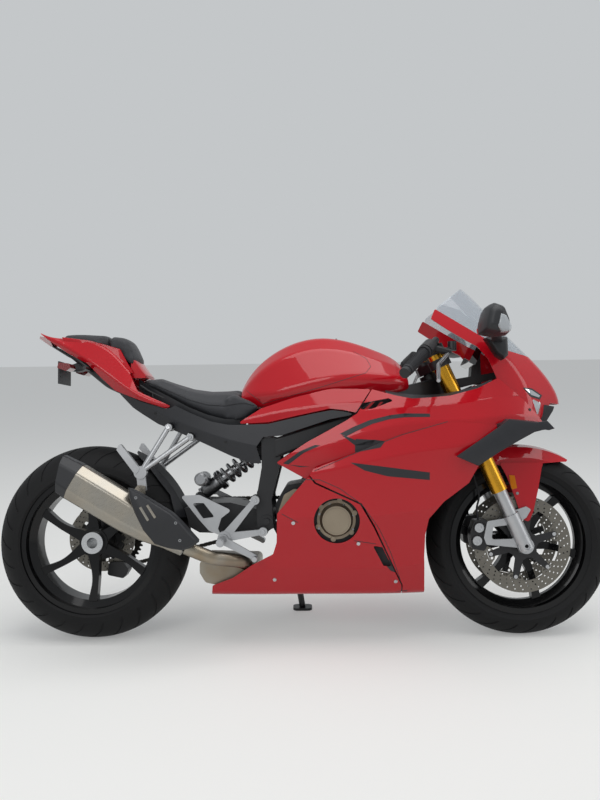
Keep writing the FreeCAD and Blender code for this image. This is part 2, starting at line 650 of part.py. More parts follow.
def round_cover(x, z, face_y, depth, radius):
    """Round engine cover on the right: flange with bolt bosses round a domed middle."""
    low = face_y - depth
    flange = disc(x, z, low, low + 8.0, radius)
    dome = Part.makeCone(radius - 8.0, radius - 16.0, depth - 7.0, vec(x, low + 7.0, z), ALONG_Y)
    crown = disc(x, z, face_y - 1.0, face_y + 3.0, radius - 22.0)
    bosses = [disc(x + radius * math.cos(turn), z + radius * math.sin(turn), low, low + 13.0, 8.0)
              for turn in (math.radians(angle) for angle in range(20, 380, 60))]
    return fuse([flange, dome, crown] + bosses)


CLUTCH_X, CLUTCH_Z = 96.0, 396.0
CLUTCH_RADIUS = 60.0
CASE_SIDE_Y = 172.0


def side_covers():
    cover = mirrored(round_cover(CLUTCH_X, CLUTCH_Z, CASE_SIDE_Y + 34.0, 34.0, CLUTCH_RADIUS))
    return cover, mirrored(cover)


def gearbox_cover():
    """Rounded case of the gearbox's side, seen behind the fairing's rear edge."""
    outline = [(-72, 372), (-20, 356), (8, 400), (2, 462), (-26, 496), (-66, 474), (-84, 424)]
    return plate(outline, -166.0, -150.0, 18.0)


def radiator():
    """Radiator core with a tank down each side, leaning with the cylinders."""
    lean = math.radians(8.0)
    core = block(-16.0, 16.0, -128.0, 128.0, -130.0, 130.0)
    tanks = [block(-20.0, 20.0, side * 140.0 - 13.0, side * 140.0 + 13.0, -136.0, 136.0)
             for side in (-1, 1)]
    solid = fuse([core] + tanks)
    solid.rotate(vec(0, 0, 0), ALONG_Y, math.degrees(lean))
    solid.translate(vec(356.0, 0.0, 470.0))
    return solid


EXHAUST_RADIUS = 19.0


def exhaust_headers():
    """Two header pipes from the cylinders, down behind the radiator and back to the box."""
    pipes = []
    for y in (-48.0, 48.0):
        run = [vec(278, y, 536), vec(306, y, 500), vec(300, y, 300), vec(282, y, 212),
               vec(214, y, 174), vec(-60, y, 174), vec(-158, y, 222)]
        pipes.append(bent_rod(run, EXHAUST_RADIUS, 90.0))
    return fuse(pipes)


BOX_FRONT_X, BOX_REAR_X = -150.0, -338.0


def exhaust_box():
    outline = [(BOX_FRONT_X, 190), (BOX_FRONT_X, 262), (BOX_REAR_X, 268), (BOX_REAR_X, 226),
               (BOX_REAR_X + 18, 196), (BOX_REAR_X + 58, 187)]
    return plate(outline, -118.0, 92.0, 16.0)


CAN_ANGLE = math.radians(31.3)
CAN_Y = -222.0
CAN_AXIS = FreeCAD.Vector(-math.cos(CAN_ANGLE), 0, math.sin(CAN_ANGLE))
CAN_UP = FreeCAD.Vector(math.sin(CAN_ANGLE), 0, math.cos(CAN_ANGLE))
CAN_FRONT = FreeCAD.Vector(-368.0, CAN_Y, 322.0)
CAN_STATIONS = ((0.0, 27.0, 27.0), (55.0, 34.0, 34.0), (130.0, 50.0, 44.0), (200.0, 57.0, 48.0),
                (392.0, 58.0, 48.0))


def can_point(along, up, side=0.0):
    return CAN_FRONT + CAN_AXIS * along + CAN_UP * up + ALONG_Y * side


def can_section(along, half_height, half_width, grow=0.0):
    high, wide = half_height + grow, half_width + grow
    corners = [(-wide, -0.45 * high), (-wide, 0.55 * high), (-0.45 * wide, high),
               (0.55 * wide, high), (wide, 0.4 * high), (wide, -0.5 * high),
               (0.5 * wide, -high), (-0.5 * wide, -high)]
    return corner_wire(with_radius(corners, 0.32 * wide),
                       lambda u, v: can_point(along, v, u))


def exhaust_canister():
    """Tapered silencer with the tab by which it hangs."""
    body = loft([can_section(*row) for row in CAN_STATIONS], smooth=False)
    x, z = EXHAUST_MOUNT
    tab = plate([(x - 52, z - 36), (x - 12, z + 12), (x + 12, z + 10), (x + 12, z - 14),
                 (x - 4, z - 65)], TAB_Y, TAB_Y + 6.0, 5.0)
    return fuse([body, tab])


def canister_cap():
    """End cap: the canister's section, cut off slanting, with the outlet hole in it."""
    start = CAN_STATIONS[-1]
    solid = loft([can_section(start[0] + RUN_CLEAR, start[1] + 1, start[2] + 1),
                  can_section(start[0] + 78.0, start[1] - 6, start[2] - 6)], smooth=False)
    slant = plate([(-900, 700), (-733, 612), (-757, 498), (-900, 400)], CAN_Y - 90, CAN_Y + 90)
    outlet = rod(can_point(start[0] + 40, 4), can_point(start[0] + 120, 4), 26.0)
    return solid.cut(slant).cut(outlet)


def heat_shield():
    """Moulded shield round the canister's front, with two slots."""
    rows = ((58.0, 36.0, 36.0), (130.0, 50.0, 44.0), (200.0, 57.0, 48.0), (262.0, 57.5, 48.0))
    outer = loft([can_section(*row, grow=5.0) for row in rows], smooth=False)
    inner = loft([can_section(*row, grow=SEAT_CLEAR) for row in rows], smooth=False)
    outline = [(-531, 508), (-505, 496), (-399, 430), (-373, 407), (-352, 380), (-400, 322),
               (-455, 336), (-490, 380), (-520, 440)]
    shell = outer.cut(inner).common(plate(outline, CAN_Y - 90, CAN_Y + 8, 10.0))
    slots = [plate([(x, z), (x + 7, z + 3), (x + 30, z - 44), (x + 23, z - 47)],
                   CAN_Y - 90, CAN_Y, 2.0) for x, z in ((-500.0, 470.0), (-474.0, 456.0))]
    return shell.cut(Part.makeCompound(slots))


def exhaust_link_pipe():
    line = [vec(-188.0, -96.0, 248.0), vec(-200.0, -166.0, 270.0), vec(-290.0, -208.0, 287.0),
            can_point(-1.0, 0.0)]
    return bent_rod(line, 21.0, 70.0)


HUGGER_RADIUS = REAR_TYRE_RADIUS + 9.0


def swingarm():
    """Single arm on the left: pivot tube, arched beam and the ring that carries the spindle."""
    pivot = disc(PIVOT_X, PIVOT_Z, -116.0, 116.0, 26.0)
    bridge = plate([(PIVOT_X + 16, PIVOT_Z + 22), (PIVOT_X + 10, PIVOT_Z - 24), (-230, 348),
                    (-340, 352), (-396, 384), (-396, 428), (-330, 444), (-240, 446)],
                   -104.0, 104.0, 8.0)
    tyre_space = Part.makeCylinder(HUGGER_RADIUS + 5.0 + SEAT_CLEAR, 400.0,
                                   vec(REAR_AXLE_X, -200.0, REAR_AXLE_Z), ALONG_Y)
    bridge = bridge.cut(tyre_space)
    beam = plate([(-190, 440), (-330, 448), (-480, 420), (-640, 392), (-720, 384), (-760, 330),
                  (-744, 268), (-690, 244), (-640, 262), (-600, 312), (-470, 344), (-330, 352),
                  (-200, 350)], 98.0, 142.0, 26.0)
    carrier = disc(REAR_AXLE_X, REAR_AXLE_Z, 78.0, CHAIN_Y - 17.0, 72.0)
    foot_x, foot_z = SHOCK_FOOT
    ear = plate([(-290, 425), (foot_x - 8, 400), (foot_x - 14, foot_z), (foot_x, foot_z + 14),
                 (foot_x + 14, foot_z + 6)], SHOCK_EYE_HALF + RUN_CLEAR, 24.0, 4.0)
    ear = ear.cut(tyre_space)
    bolt = disc(foot_x, foot_z, -24.0, 24.0, 6.0)
    solid = fuse([pivot, bridge, beam, carrier, ear, mirrored(ear), bolt])
    chain_space = plate([(-150, 420), (-230, 426), (-230, 374), (-150, 372)], 130.0, 200.0, 8.0)
    solid = solid.cut(chain_space)
    solid = solid.cut(disc(PIVOT_X, PIVOT_Z, -130, 130, PIVOT_SHAFT_RADIUS + FIT_CLEAR))
    return solid.cut(disc(REAR_AXLE_X, REAR_AXLE_Z, 60.0, 200.0, SPINDLE_RADIUS + RUN_CLEAR))


def rear_caliper():
    """Small sliding caliper under the disc, on a bracket from the arm."""
    cx, cz = REAR_AXLE_X + 52.0, REAR_AXLE_Z - 100.0
    body = plate([(cx - 30, cz - 22), (cx + 26, cz - 34), (cx + 44, cz - 6), (cx + 24, cz + 22),
                  (cx - 24, cz + 20)], REAR_DISC_Y - 20.0, REAR_DISC_Y + 30.0, 9.0)
    gap = disc(REAR_AXLE_X, REAR_AXLE_Z, REAR_DISC_Y - DISC_THICK / 2 - DISC_CLEAR,
               REAR_DISC_Y + DISC_THICK / 2 + DISC_CLEAR, REAR_DISC_RADIUS + DISC_CLEAR)
    bracket = plate([(cx - 14, cz - 6), (cx + 26, cz + 2), (cx + 10, cz + 66), (cx - 10, cz + 60)],
                    REAR_DISC_Y + 14.0, REAR_DISC_Y + 24.0, 6.0)
    return fuse([body.cut(gap), bracket.cut(gap)])


def rear_hugger():
    """Narrow mudguard close over the rear tyre's front, with a cheek on the right."""
    inside = HUGGER_RADIUS
    outside = inside + 3.0
    profile = [(0.0, outside + 2), (52.0, outside - 10), (94.0, outside - 62), (91.0, outside - 64),
               (50.0, inside - 10), (0.0, inside + 2)]
    arch = turned_profile(profile, REAR_AXLE_X, REAR_AXLE_Z)
    arch = fuse([arch, mirrored(arch)])
    outline = [(-330, 396), (-352, 470), (-404, 570), (-470, 640), (-540, 660), (-560, 610),
               (-510, 560), (-440, 470), (-420, 396)]
    return cut_to(arch, outline, -110.0, 110.0, 8.0)


SHOCK_TOP = (-150.0, 610.0)
SHOCK_FOOT = (-352.0, 462.0)
SHOCK_EYE_HALF = 14.0


def rear_shock():
    """Shock absorber lying between frame and arm, with its round reservoir."""
    low, high = vec(SHOCK_FOOT[0], 0.0, SHOCK_FOOT[1]), vec(SHOCK_TOP[0], 0.0, SHOCK_TOP[1])
    run = high - low
    share = lambda t: low + run * t
    body = rod(share(0.12), share(0.46), 24.0)
    shaft = rod(share(0.05), share(0.98), 7.0)
    seats = [rod(share(a), share(b), 33.0) for a, b in ((0.34, 0.40), (0.83, 0.87))]
    coils = [rod(share(0.425 + 0.085 * i), share(0.46 + 0.085 * i), 31.0) for i in range(5)]
    core = rod(share(0.38), share(0.86), 20.0)
    eyes = [disc(x, z, -SHOCK_EYE_HALF, SHOCK_EYE_HALF, 14.0)
            for x, z in (SHOCK_TOP, SHOCK_FOOT)]
    bolt_holes = [disc(x, z, -SHOCK_EYE_HALF, SHOCK_EYE_HALF, 6.0)
                  for x, z in (SHOCK_TOP, SHOCK_FOOT)]
    reservoir = rod(vec(-338.0, -92.0, 520.0), vec(-338.0, 20.0, 520.0), 22.0)
    neck = rod(vec(-338.0, 0.0, 520.0), share(0.22), 13.0)
    solid = fuse([body, shaft, core, reservoir, neck] + seats + coils + eyes)
    return solid.cut(Part.makeCompound(bolt_holes))


def rider_bracket():
    """Forked hanger of the right footrest, with its studs, hub and heel plate."""
    y = -SPAR_Y - 26.0
    hub = (-252.0, 345.0)
    arms, eyes = [], []
    for x, z in HANGER_BOLTS:
        dx, dz = x - hub[0], z - hub[1]
        length = math.hypot(dx, dz)
        nx, nz = -dz / length, dx / length
        root, tip = 14.0, 8.0
        arms.append(plate([(hub[0] + root * nx, hub[1] + root * nz), (x + tip * nx, z + tip * nz),
                           (x - tip * nx, z - tip * nz), (hub[0] - root * nx, hub[1] - root * nz)],
                          y - 7.0, y + 7.0))
        eyes.append(disc(x, z, y - 9.0, y + 9.0, 14.0))
        eyes.append(disc(x, z, y + 8.0, -SPAR_Y, 9.0))
    middle = disc(hub[0], hub[1], y - 12.0, y + 10.0, 20.0)
    heel_outline = [(-389, 475), (-329, 477), (-230, 428), (-262, 404), (-272, 372), (-262, 350),
                    (-300, 366), (-329, 399)]
    window = [(-352, 452), (-316, 452), (-282, 408), (-318, 404)]
    heel = plate(heel_outline, y - 2.0, y + 3.0, 6.0).cut(plate(window, y - 10, y + 10, 4.0))
    return fuse(arms + eyes + [middle, heel])


FOOTREST = (-255.0, 340.0)


def footrests():
    """Rider footrests, ribbed along the top."""
    y = SPAR_Y + 38.0
    peg = disc(FOOTREST[0], FOOTREST[1], y, y + 92.0, 10.0)
    ribs = [disc(FOOTREST[0], FOOTREST[1], y + 18.0 + 12.0 * i, y + 23.0 + 12.0 * i, 12.5)
            for i in range(6)]
    return pair(fuse([peg] + ribs))


def foot_pedal():
    """Pedal lever in front of a footrest, ending in a round toe peg."""
    y = SPAR_Y + 39.0
    lever = plate([(-262, 328), (-244, 346), (-150, 292), (-156, 276)], y + 2.0, y + 12.0, 4.0)
    toe = disc(-156.0, 284.0, y + 2.0, y + 44.0, 8.0)
    pad = disc(FOOTREST[0], FOOTREST[1], y + 1.0, y + 13.0, 17.0)
    hole = disc(FOOTREST[0], FOOTREST[1], y - 3.0, y + 20.0, 10.0 + RUN_CLEAR)
    return fuse([lever, toe, pad]).cut(hole)


HANGER_FACE_Y = 132.0
EXHAUST_MOUNT = (-508.0, 498.0)
TAB_Y = -186.0


def pillion_bracket(holds_exhaust):
    """Triangular hanger of the passenger footrest; the right one's foot holds the exhaust."""
    y = 150.0
    foot = (-516.0, 548.0)
    bars = []
    for x, z in PASSENGER_BOLTS:
        bars.append(disc(x, z, HANGER_FACE_Y, HANGER_FACE_Y + 16.0, 11.0))
        bars.append(rod(vec(x, HANGER_FACE_Y + 10.5, z), vec(foot[0], y + 10.0, foot[1]), 8.5))
    knot = disc(foot[0], foot[1], y - 2.0, y + 20.0, 20.0)
    drop = plate([(-530, 548), (-502, 548), (-496, 492), (-508, 484), (-524, 492)],
                 y + 4.0, y + 14.0, 4.0)
    peg_arm = plate([(-516, 560), (-530, 540), (-590, 620), (-580, 642)], y + 2.0, y + 22.0, 5.0)
    pieces = bars + [knot, drop, peg_arm]
    if holds_exhaust:
        pieces.append(disc(*EXHAUST_MOUNT, y + 4.0, -TAB_Y - 6.0, 9.0))
    return fuse(pieces)


def side_stand():
    """Stand leg with its hinge eye, prop tube and ground plate, as it stands when parked."""
    pivot = vec(*STAND_PIVOT)
    axis = stand_axis()
    eye = Part.makeCylinder(17.0, 12.0, pivot - axis * 6.0, axis)
    foot_z = ground_at(STAND_FOOT_Y)
    foot = vec(STAND_FOOT_X, STAND_FOOT_Y, foot_z)
    leg = bent_rod([pivot + vec(4, 4, -8), pivot + (foot - pivot) * 0.5 + vec(8, 0, 0),
                    foot + vec(0, -2, 6)], STAND_RADIUS, 300.0)
    beside_eye = [Part.makeCylinder(25.0, 20.0, pivot + axis * start, axis)
                  for start in (-26.1, 6.1)]
    leg = leg.cut(beside_eye)
    sole = block(-34.0, 34.0, -24.0, 24.0, 0.0, 9.0)
    edges = [edge for edge in sole.Edges if abs(edge.tangentAt(edge.FirstParameter).z) > 0.9]
    sole = sole.makeFillet(16.0, edges)
    sole.rotate(vec(0, 0, 0), vec(1, 0, 0), math.degrees(LEAN))
    sole.translate(foot)
    ground = block(-400, 400, -600, 600, -200, 0)
    ground.rotate(vec(0, 0, 0), vec(1, 0, 0), math.degrees(LEAN))
    hole = Part.makeCylinder(7.0 + RUN_CLEAR, 40.0, pivot - axis * 20.0, axis)
    return fuse([eye, leg, sole]).cut(ground).cut(hole)


def ground_at(y):
    """Height of the ground under the upright frame's lateral place y, once it leans."""
    return y * math.tan(LEAN)


def stand_axis():
    return FreeCAD.Vector(0.0, math.cos(STAND_TILT), math.sin(STAND_TILT))


def stand_hinge():
    """Hinge bolt and the fork of plates that hold the stand's eye."""
    pivot = vec(*STAND_PIVOT)
    axis = stand_axis()
    pin = Part.makeCylinder(7.0, 30.0, pivot - axis * 15.0, axis)
    cheeks = [Part.makeCylinder(19.0, 6.0, pivot + axis * shift, axis) for shift in (-12.5, 6.5)]
    x, y, z = STAND_PIVOT
    web = plate([(x - 16, z + 18), (x + 16, z + 18), (-90, 360), (-126, 360)], y - 20, y + 2, 4.0)
    eye_space = Part.makeCylinder(24.0, 13.0, pivot - axis * 6.5, axis)
    joined = fuse(cheeks + [web.cut(eye_space)])
    return fuse([joined, pin])


def chain():
    """Drive chain: an outer and an inner run of link plates round both sprockets."""
    rear_radius = CHAIN_PITCH / (2 * math.sin(math.pi / REAR_TEETH))
    front_radius = CHAIN_PITCH / (2 * math.sin(math.pi / FRONT_TEETH))
    inset = SPROCKET_THICK / 2 + 0.5
    bands = []
    for low in (CHAIN_Y - inset - 2.5, CHAIN_Y + inset):
        outer = belt(rear_radius + 7.0, front_radius + 7.0, low)
        inner = belt(rear_radius - 7.0, front_radius - 7.0, low)
        bands.append(outer.cut(inner))
    return Part.makeCompound(bands)


def belt(rear_radius, front_radius, y_low, thick=2.5):
    """Solid of the line that runs tight round two circles about the sprocket centres."""
    rx, rz, fx, fz = REAR_AXLE_X, REAR_AXLE_Z, FRONT_SPROCKET_X, FRONT_SPROCKET_Z
    gap = math.hypot(fx - rx, fz - rz)
    tilt = math.atan2(fz - rz, fx - rx)
    wrap = math.acos((rear_radius - front_radius) / gap)

    def at(x, z, radius, angle):
        return vec(x + radius * math.cos(angle), y_low, z + radius * math.sin(angle))
    top, low = tilt + wrap, tilt - wrap
    edges = [Part.LineSegment(at(rx, rz, rear_radius, top), at(fx, fz, front_radius, top)).toShape(),
             Part.Arc(at(fx, fz, front_radius, top), at(fx, fz, front_radius, tilt),
                      at(fx, fz, front_radius, low)).toShape(),
             Part.LineSegment(at(fx, fz, front_radius, low), at(rx, rz, rear_radius, low)).toShape(),
             Part.Arc(at(rx, rz, rear_radius, low), at(rx, rz, rear_radius, tilt + math.pi),
                      at(rx, rz, rear_radius, top)).toShape()]
    return Part.Face(Part.Wire(edges)).extrude(vec(0, thick, 0))


def front_sprocket():
    solid = sprocket(FRONT_SPROCKET_X, FRONT_SPROCKET_Z, CHAIN_Y, FRONT_TEETH, 14.0)
    hub = ring(FRONT_SPROCKET_X, FRONT_SPROCKET_Z, CHAIN_Y - 6.0, CHAIN_Y + 6.0, 24.0, 14.0)
    shaft_end = disc(FRONT_SPROCKET_X, FRONT_SPROCKET_Z, CHAIN_Y - 6.0, CHAIN_Y + 6.0, 14.0)
    return fuse([solid, hub, shaft_end])


# Bodywork

# Fairing side wall: x, then (half width, height) from the belly's lip to the top edge.
FAIRING_STATIONS = (
    (-312.0, [(86.0, 153.0), (116.0, 160.0), (152.0, 235.0), (184.0, 330.0), (200.0, 430.0),
              (200.0, 500.0)]),
    (-100.0, [(86.0, 151.0), (122.0, 158.0), (162.0, 245.0), (208.0, 400.0), (220.0, 520.0),
              (214.0, 640.0)]),
    (110.0, [(86.0, 150.0), (122.0, 157.0), (170.0, 245.0), (228.0, 410.0), (246.0, 560.0),
             (226.0, 700.0)]),
    (300.0, [(84.0, 150.0), (118.0, 157.0), (172.0, 250.0), (230.0, 420.0), (254.0, 600.0),
             (240.0, 730.0)]),
    (450.0, [(80.0, 156.0), (104.0, 166.0), (164.0, 280.0), (222.0, 450.0), (252.0, 620.0),
             (240.0, 740.0)]),
    (610.0, [(70.0, 200.0), (90.0, 220.0), (130.0, 340.0), (196.0, 500.0), (236.0, 640.0),
             (226.0, 750.0)]),
)
SIDE_OUTLINE = [(27, 556), (134, 596), (296, 658), (435, 696), (585, 685), (606, 650),
                (529, 561), (499, 508), (458, 478), (422, 452), (377, 400), (367, 350),
                (366, 277), (374, 150), (303, 140), (303, 185), (278, 237), (212, 380),
                (172, 450), (34, 515), (14, 538)]
LOWER_OUTLINE = [(-302, 140), (-296, 188), (-230, 214), (-167, 257), (-102, 291), (-90, 328),
                 (-86, 420), (-35, 481), (12, 534), (30, 511), (167, 447), (207, 378),
                 (274, 236), (299, 184), (299, 140)]
STAND_NOTCH = [(-330, 130), (-330, 318), (-60, 318), (24, 290), (34, 130)]
CLUTCH_HOLE_RADIUS = 70.0
SIDE_VENT = [(206, 318), (236, 312), (266, 250), (240, 252)]

# Upper side panel: x, then (half width, height) upwards.
UPPER_STATIONS = (
    (-95.0, [(186.0, 540.0), (202.0, 600.0), (196.0, 650.0), (180.0, 730.0)]),
    (110.0, [(222.0, 540.0), (232.0, 640.0), (214.0, 720.0), (184.0, 812.0)]),
    (300.0, [(240.0, 600.0), (243.0, 690.0), (224.0, 740.0), (184.0, 806.0)]),
    (450.0, [(242.0, 640.0), (241.0, 700.0), (222.0, 750.0), (184.0, 800.0)]),
    (600.0, [(226.0, 640.0), (222.0, 710.0), (200.0, 770.0), (170.0, 850.0)]),
    (765.0, [(172.0, 640.0), (160.0, 700.0), (134.0, 760.0), (112.0, 850.0)]),
)
UPPER_OUTLINE = [(-88, 575), (5, 523), (30, 546), (134, 586), (296, 648), (435, 686), (585, 676),
                 (600, 690), (700, 684), (745, 688), (700, 745), (640, 800), (607, 831),
                 (539, 798), (452, 776), (393, 771), (334, 768), (286, 778), (212, 799),
                 (163, 724), (125, 700), (7, 637)]
AIR_SLOT = [(167, 745), (186, 757), (262, 770), (276, 762), (210, 738), (178, 736)]

STRIP_STATIONS = (
    (-216.0, [(150.0, 685.0), (152.0, 704.0), (140.0, 730.0)]),
    (-34.0, [(172.0, 705.0), (174.0, 740.0), (158.0, 785.0)]),
    (214.0, [(214.0, 715.0), (204.0, 760.0), (182.0, 806.0)]),
)
STRIP_OUTLINE = [(-213, 697), (-136, 745), (-34, 777), (82, 804), (209, 800), (160, 727),
                 (121, 736), (80, 741), (-34, 718), (-113, 701)]

BUBBLE_BEND = 60.0
# Nose and screen: height, then half plan (rear x, half width), (shoulder), (front).
BUBBLE_STATIONS = (
    (672.0, (560.0, 206.0), (690.0, 150.0), (768.0, 34.0)),
    (758.0, (480.0, 200.0), (722.0, 132.0), (845.0, 26.0)),
    (850.0, (455.0, 192.0), (686.0, 126.0), (796.0, 44.0)),
    (950.0, (418.0, 174.0), (604.0, 128.0), (702.0, 52.0)),
    (1050.0, (384.0, 150.0), (520.0, 114.0), (614.0, 50.0)),
    (1146.0, (366.0, 112.0), (444.0, 90.0), (522.0, 40.0)),
)
SCREEN_EDGE = [(420.0, 1056.0), (492.0, 1012.0), (553.0, 975.0), (640.0, 926.0), (748.0, 904.0),
               (862.0, 888.0)]
COWL_OUTLINE = SCREEN_EDGE + [(862, 750), (799, 754), (764, 690), (752, 668), (746, 688),
                              (701, 746), (641, 801), (608, 832), (584, 893), (550, 933),
                              (516, 951), (456, 987), (404, 1022)]
SCREEN_OUTLINE = [(x, z + SEAT_CLEAR) for x, z in SCREEN_EDGE] + [(862, 1180), (560, 1180),
                                                                 (527, 1141)]
LAMP_OUTLINE = [(723, 767), (760, 752), (744, 710)]
INTAKE_OUTLINE = [(640, 688), (640, 760), (768, 760), (806, 742), (784, 698), (752, 686)]

# Tank: x, then (half width, height) of the bottom, the widest line, the shoulder and the crown.
TANK_STATIONS = (
    (-204.0, (70.0, 754.0), (84.0, 772.0), (62.0, 802.0), (30.0, 815.0)),
    (-150.0, (96.0, 748.0), (114.0, 792.0), (88.0, 858.0), (40.0, 891.0)),
    (-60.0, (126.0, 748.0), (148.0, 802.0), (110.0, 910.0), (54.0, 951.0)),
    (60.0, (142.0, 760.0), (170.0, 832.0), (118.0, 932.0), (62.0, 978.0)),
    (190.0, (150.0, 780.0), (176.0, 840.0), (120.0, 910.0), (60.0, 952.0)),
    (300.0, (128.0, 792.0), (146.0, 832.0), (100.0, 876.0), (46.0, 903.0)),
    (336.0, (100.0, 802.0), (112.0, 822.0), (80.0, 842.0), (36.0, 857.0)),
)
TANK_BENDS = (20.0, 34.0, 44.0, 50.0)
CAP_X, CAP_RADIUS = 66.0, 46.0
CAP_SEAT_Z = 968.0
NECK_RADIUS, NECK_DEPTH = 24.0, 52.0

# Seat: x, half width, height of the bottom, height of the top.
SEAT_STATIONS = (
    (-541.0, 62.0, 838.0, 850.0),
    (-504.0, 86.0, 812.0, 853.0),
    (-413.0, 114.0, 768.0, 827.0),
    (-311.0, 132.0, 716.0, 806.0),
    (-243.0, 132.0, 701.0, 808.0),
    (TANK_STATIONS[0][0] - SEAT_CLEAR, 122.0, 701.0, 814.0),
)
TRAY_THICK = 4.0

TAIL_BEND = 14.0
# Tail: x, then half arch (half width, height): lower edge, widest, top.
TAIL_STATIONS = (
    (-420.0, (112.0, 738.0), (126.0, 756.0), (116.0, 796.0)),
    (-540.0, (98.0, 764.0), (122.0, 798.0), (100.0, 846.0)),
    (-640.0, (74.0, 812.0), (112.0, 868.0), (88.0, 950.0)),
    (-760.0, (50.0, 902.0), (80.0, 946.0), (62.0, 986.0)),
    (-886.0, (12.0, 990.0), (24.0, 1006.0), (16.0, 1014.0)),
)
TAIL_OUTLINE = [(-892, 1024), (-880, 1008), (-838, 977), (-777, 938), (-706, 901), (-657, 851),
                (-614, 811), (-530, 778), (-445, 750), (-424, 756), (-535, 806), (-562, 862),
                (-590, 930), (-594, 1030)]

# Black side panel under the seat: x, then (half width, height) upwards.
COVER_STATIONS = (
    (-612.0, [(80.0, 790.0), (88.0, 812.0), (92.0, 830.0)]),
    (-430.0, [(112.0, 676.0), (122.0, 720.0), (126.0, 768.0)]),
    (-250.0, [(134.0, 590.0), (148.0, 650.0), (146.0, 705.0)]),
    (-100.0, [(158.0, 560.0), (168.0, 620.0), (164.0, 705.0)]),
    (170.0, [(196.0, 655.0), (200.0, 700.0), (194.0, 745.0)]),
)
COVER_OUTLINE = [(-606, 808), (-556, 756), (-487, 707), (-417, 679), (-334, 643), (-231, 595),
                 (-167, 572), (-136, 572), (-152, 624), (-130, 655), (-70, 660), (81, 708),
                 (158, 722), (121, 732), (80, 737), (-34, 713), (-113, 696), (-213, 694),
                 (-243, 695), (-296, 706), (-361, 733), (-413, 759), (-424, 753), (-445, 747),
                 (-530, 775)]


def largest(shape):
    return max(shape.Solids, key=lambda solid: solid.Volume)


def trim(shape, neighbours):
    """What is left of a piece once the pieces that it seats on are taken out of it."""
    return largest(shape.cut(neighbours))


def seated(shape, panel, shift):
    """A piece cut back to a small clearance from the panel that it stands on."""
    raised = panel.copy()
    raised.translate(shift)
    return largest(shape.cut(raised))


def post_to(panel, start, end, radius):
    """Post from its root to a small clearance short of the panel that it carries."""
    back = start - end
    back.normalize()
    near = panel.copy()
    near.translate(back * SEAT_CLEAR)
    pieces = rod(start, end, radius).cut(near).Solids
    return min(pieces, key=lambda solid: (solid.CenterOfMass - start).Length)


def arch_skin(stations, wall, bend):
    """Thin wall over the top from the left's lower edge to the right's."""
    wires = []
    for x, *half in stations:
        line = list(half) + [(-y, z) for y, z in reversed(half)]
        wires.append(strip_wire(line, wall, bend, in_cross_section(x)))
    return loft(wires)


def bubble(wall):
    """Nose and screen surface: plan lines from the left round the front to the right."""
    return loft([strip_wire(bubble_line(row), wall, BUBBLE_BEND, in_plan(row[0]))
                 for row in BUBBLE_STATIONS])


def bubble_line(row):
    half = list(row[1:])
    return [(x, -y) for x, y in half] + half[::-1]


def bubble_core(inset):
    """All that lies inside the nose and screen, set in from their outer surface."""
    wires = []
    for row in BUBBLE_STATIONS:
        line = [(u, v, BUBBLE_BEND) for u, v in offset_line(bubble_line(row), inset)]
        for i in (0, -1):
            line[i] = (line[i][0], line[i][1], 0.0)
        wires.append(corner_wire(line, in_plan(row[0])))
    return loft(wires)


def arch_core(stations, bend):
    """All that lies inside an arch skin's outer surface."""
    wires = []
    for x, *half in stations:
        line = [(y, z, bend) for y, z in half]
        line[0] = (line[0][0], line[0][1], 0.0)
        line += [(-y, z, radius) for y, z, radius in reversed(line)]
        wires.append(corner_wire(line, in_cross_section(x)))
    return loft(wires)


def side_fairing():
    """Main side panel of the left, with its front turned round the wheel's path."""
    return cut_to(skin(FAIRING_STATIONS, PANEL_WALL, 34.0), SIDE_OUTLINE, 60.0, 300.0)


def lower_fairings():
    """Right and left lower panels; the left one leaves room for the side stand."""
    wall = skin(FAIRING_STATIONS, PANEL_WALL, 34.0)
    whole = cut_to(wall, LOWER_OUTLINE, 60.0, 300.0)
    hole = disc(CLUTCH_X, CLUTCH_Z, 60.0, 300.0, CLUTCH_HOLE_RADIUS)
    whole = largest(whole.cut(hole).cut(plate(SIDE_VENT, 60.0, 300.0, 4.0)))
    left = largest(whole.cut(plate(STAND_NOTCH, 60.0, 300.0, 12.0)))
    return mirrored(whole), left


def upper_fairing():
    wall = skin(UPPER_STATIONS, PANEL_WALL, 30.0)
    panel = cut_to(wall, UPPER_OUTLINE, 60.0, 300.0, 4.0)
    panel = panel.cut(plate(AIR_SLOT, 60.0, 300.0, 4.0))
    hidden_part = skin([(x, [(y + 2.0, z) for y, z in line]) for x, line in FAIRING_STATIONS],
                       PANEL_WALL + 4.0, 34.0)
    return largest(panel.cut(cut_to(hidden_part, SIDE_OUTLINE, 60.0, 300.0), CUT_TOLERANCE))


def tank_strip():
    return cut_to(skin(STRIP_STATIONS, PANEL_WALL, 24.0), STRIP_OUTLINE, 60.0, 300.0, 4.0)


def winglet():
    """Flat wing that leaves the nose's side and sweeps back, out and down."""
    root = corner_wire([(758, 668, 0), (742, 690, 0), (700, 695, 0), (612, 702, 0), (600, 694, 0),
                        (640, 662, 0), (705, 658, 0)], in_side_view(176.0))
    tip = corner_wire([(529, 568, 0), (524, 574, 0), (505, 580, 0), (470, 596, 0), (456, 592, 0),
                       (478, 576, 0), (516, 562, 0)], in_side_view(296.0))
    return loft([root, tip], smooth=False)


def windscreen():
    return cut_to(bubble(SCREEN_WALL), SCREEN_OUTLINE, -300, 300, 10.0)


def upper_cowl():
    """Nose shell, with an opening for each lamp lens."""
    shell = cut_to(bubble(PANEL_WALL), COWL_OUTLINE, -300, 300, 5.0)
    return largest(shell.cut(plate(LAMP_OUTLINE, -300, 300, 4.0)))


def headlights():
    """Lens of the lamp on each side of the nose, flush with the shell."""
    return cut_to(bubble(PANEL_WALL), LAMP_OUTLINE, -300, 300, 4.0)


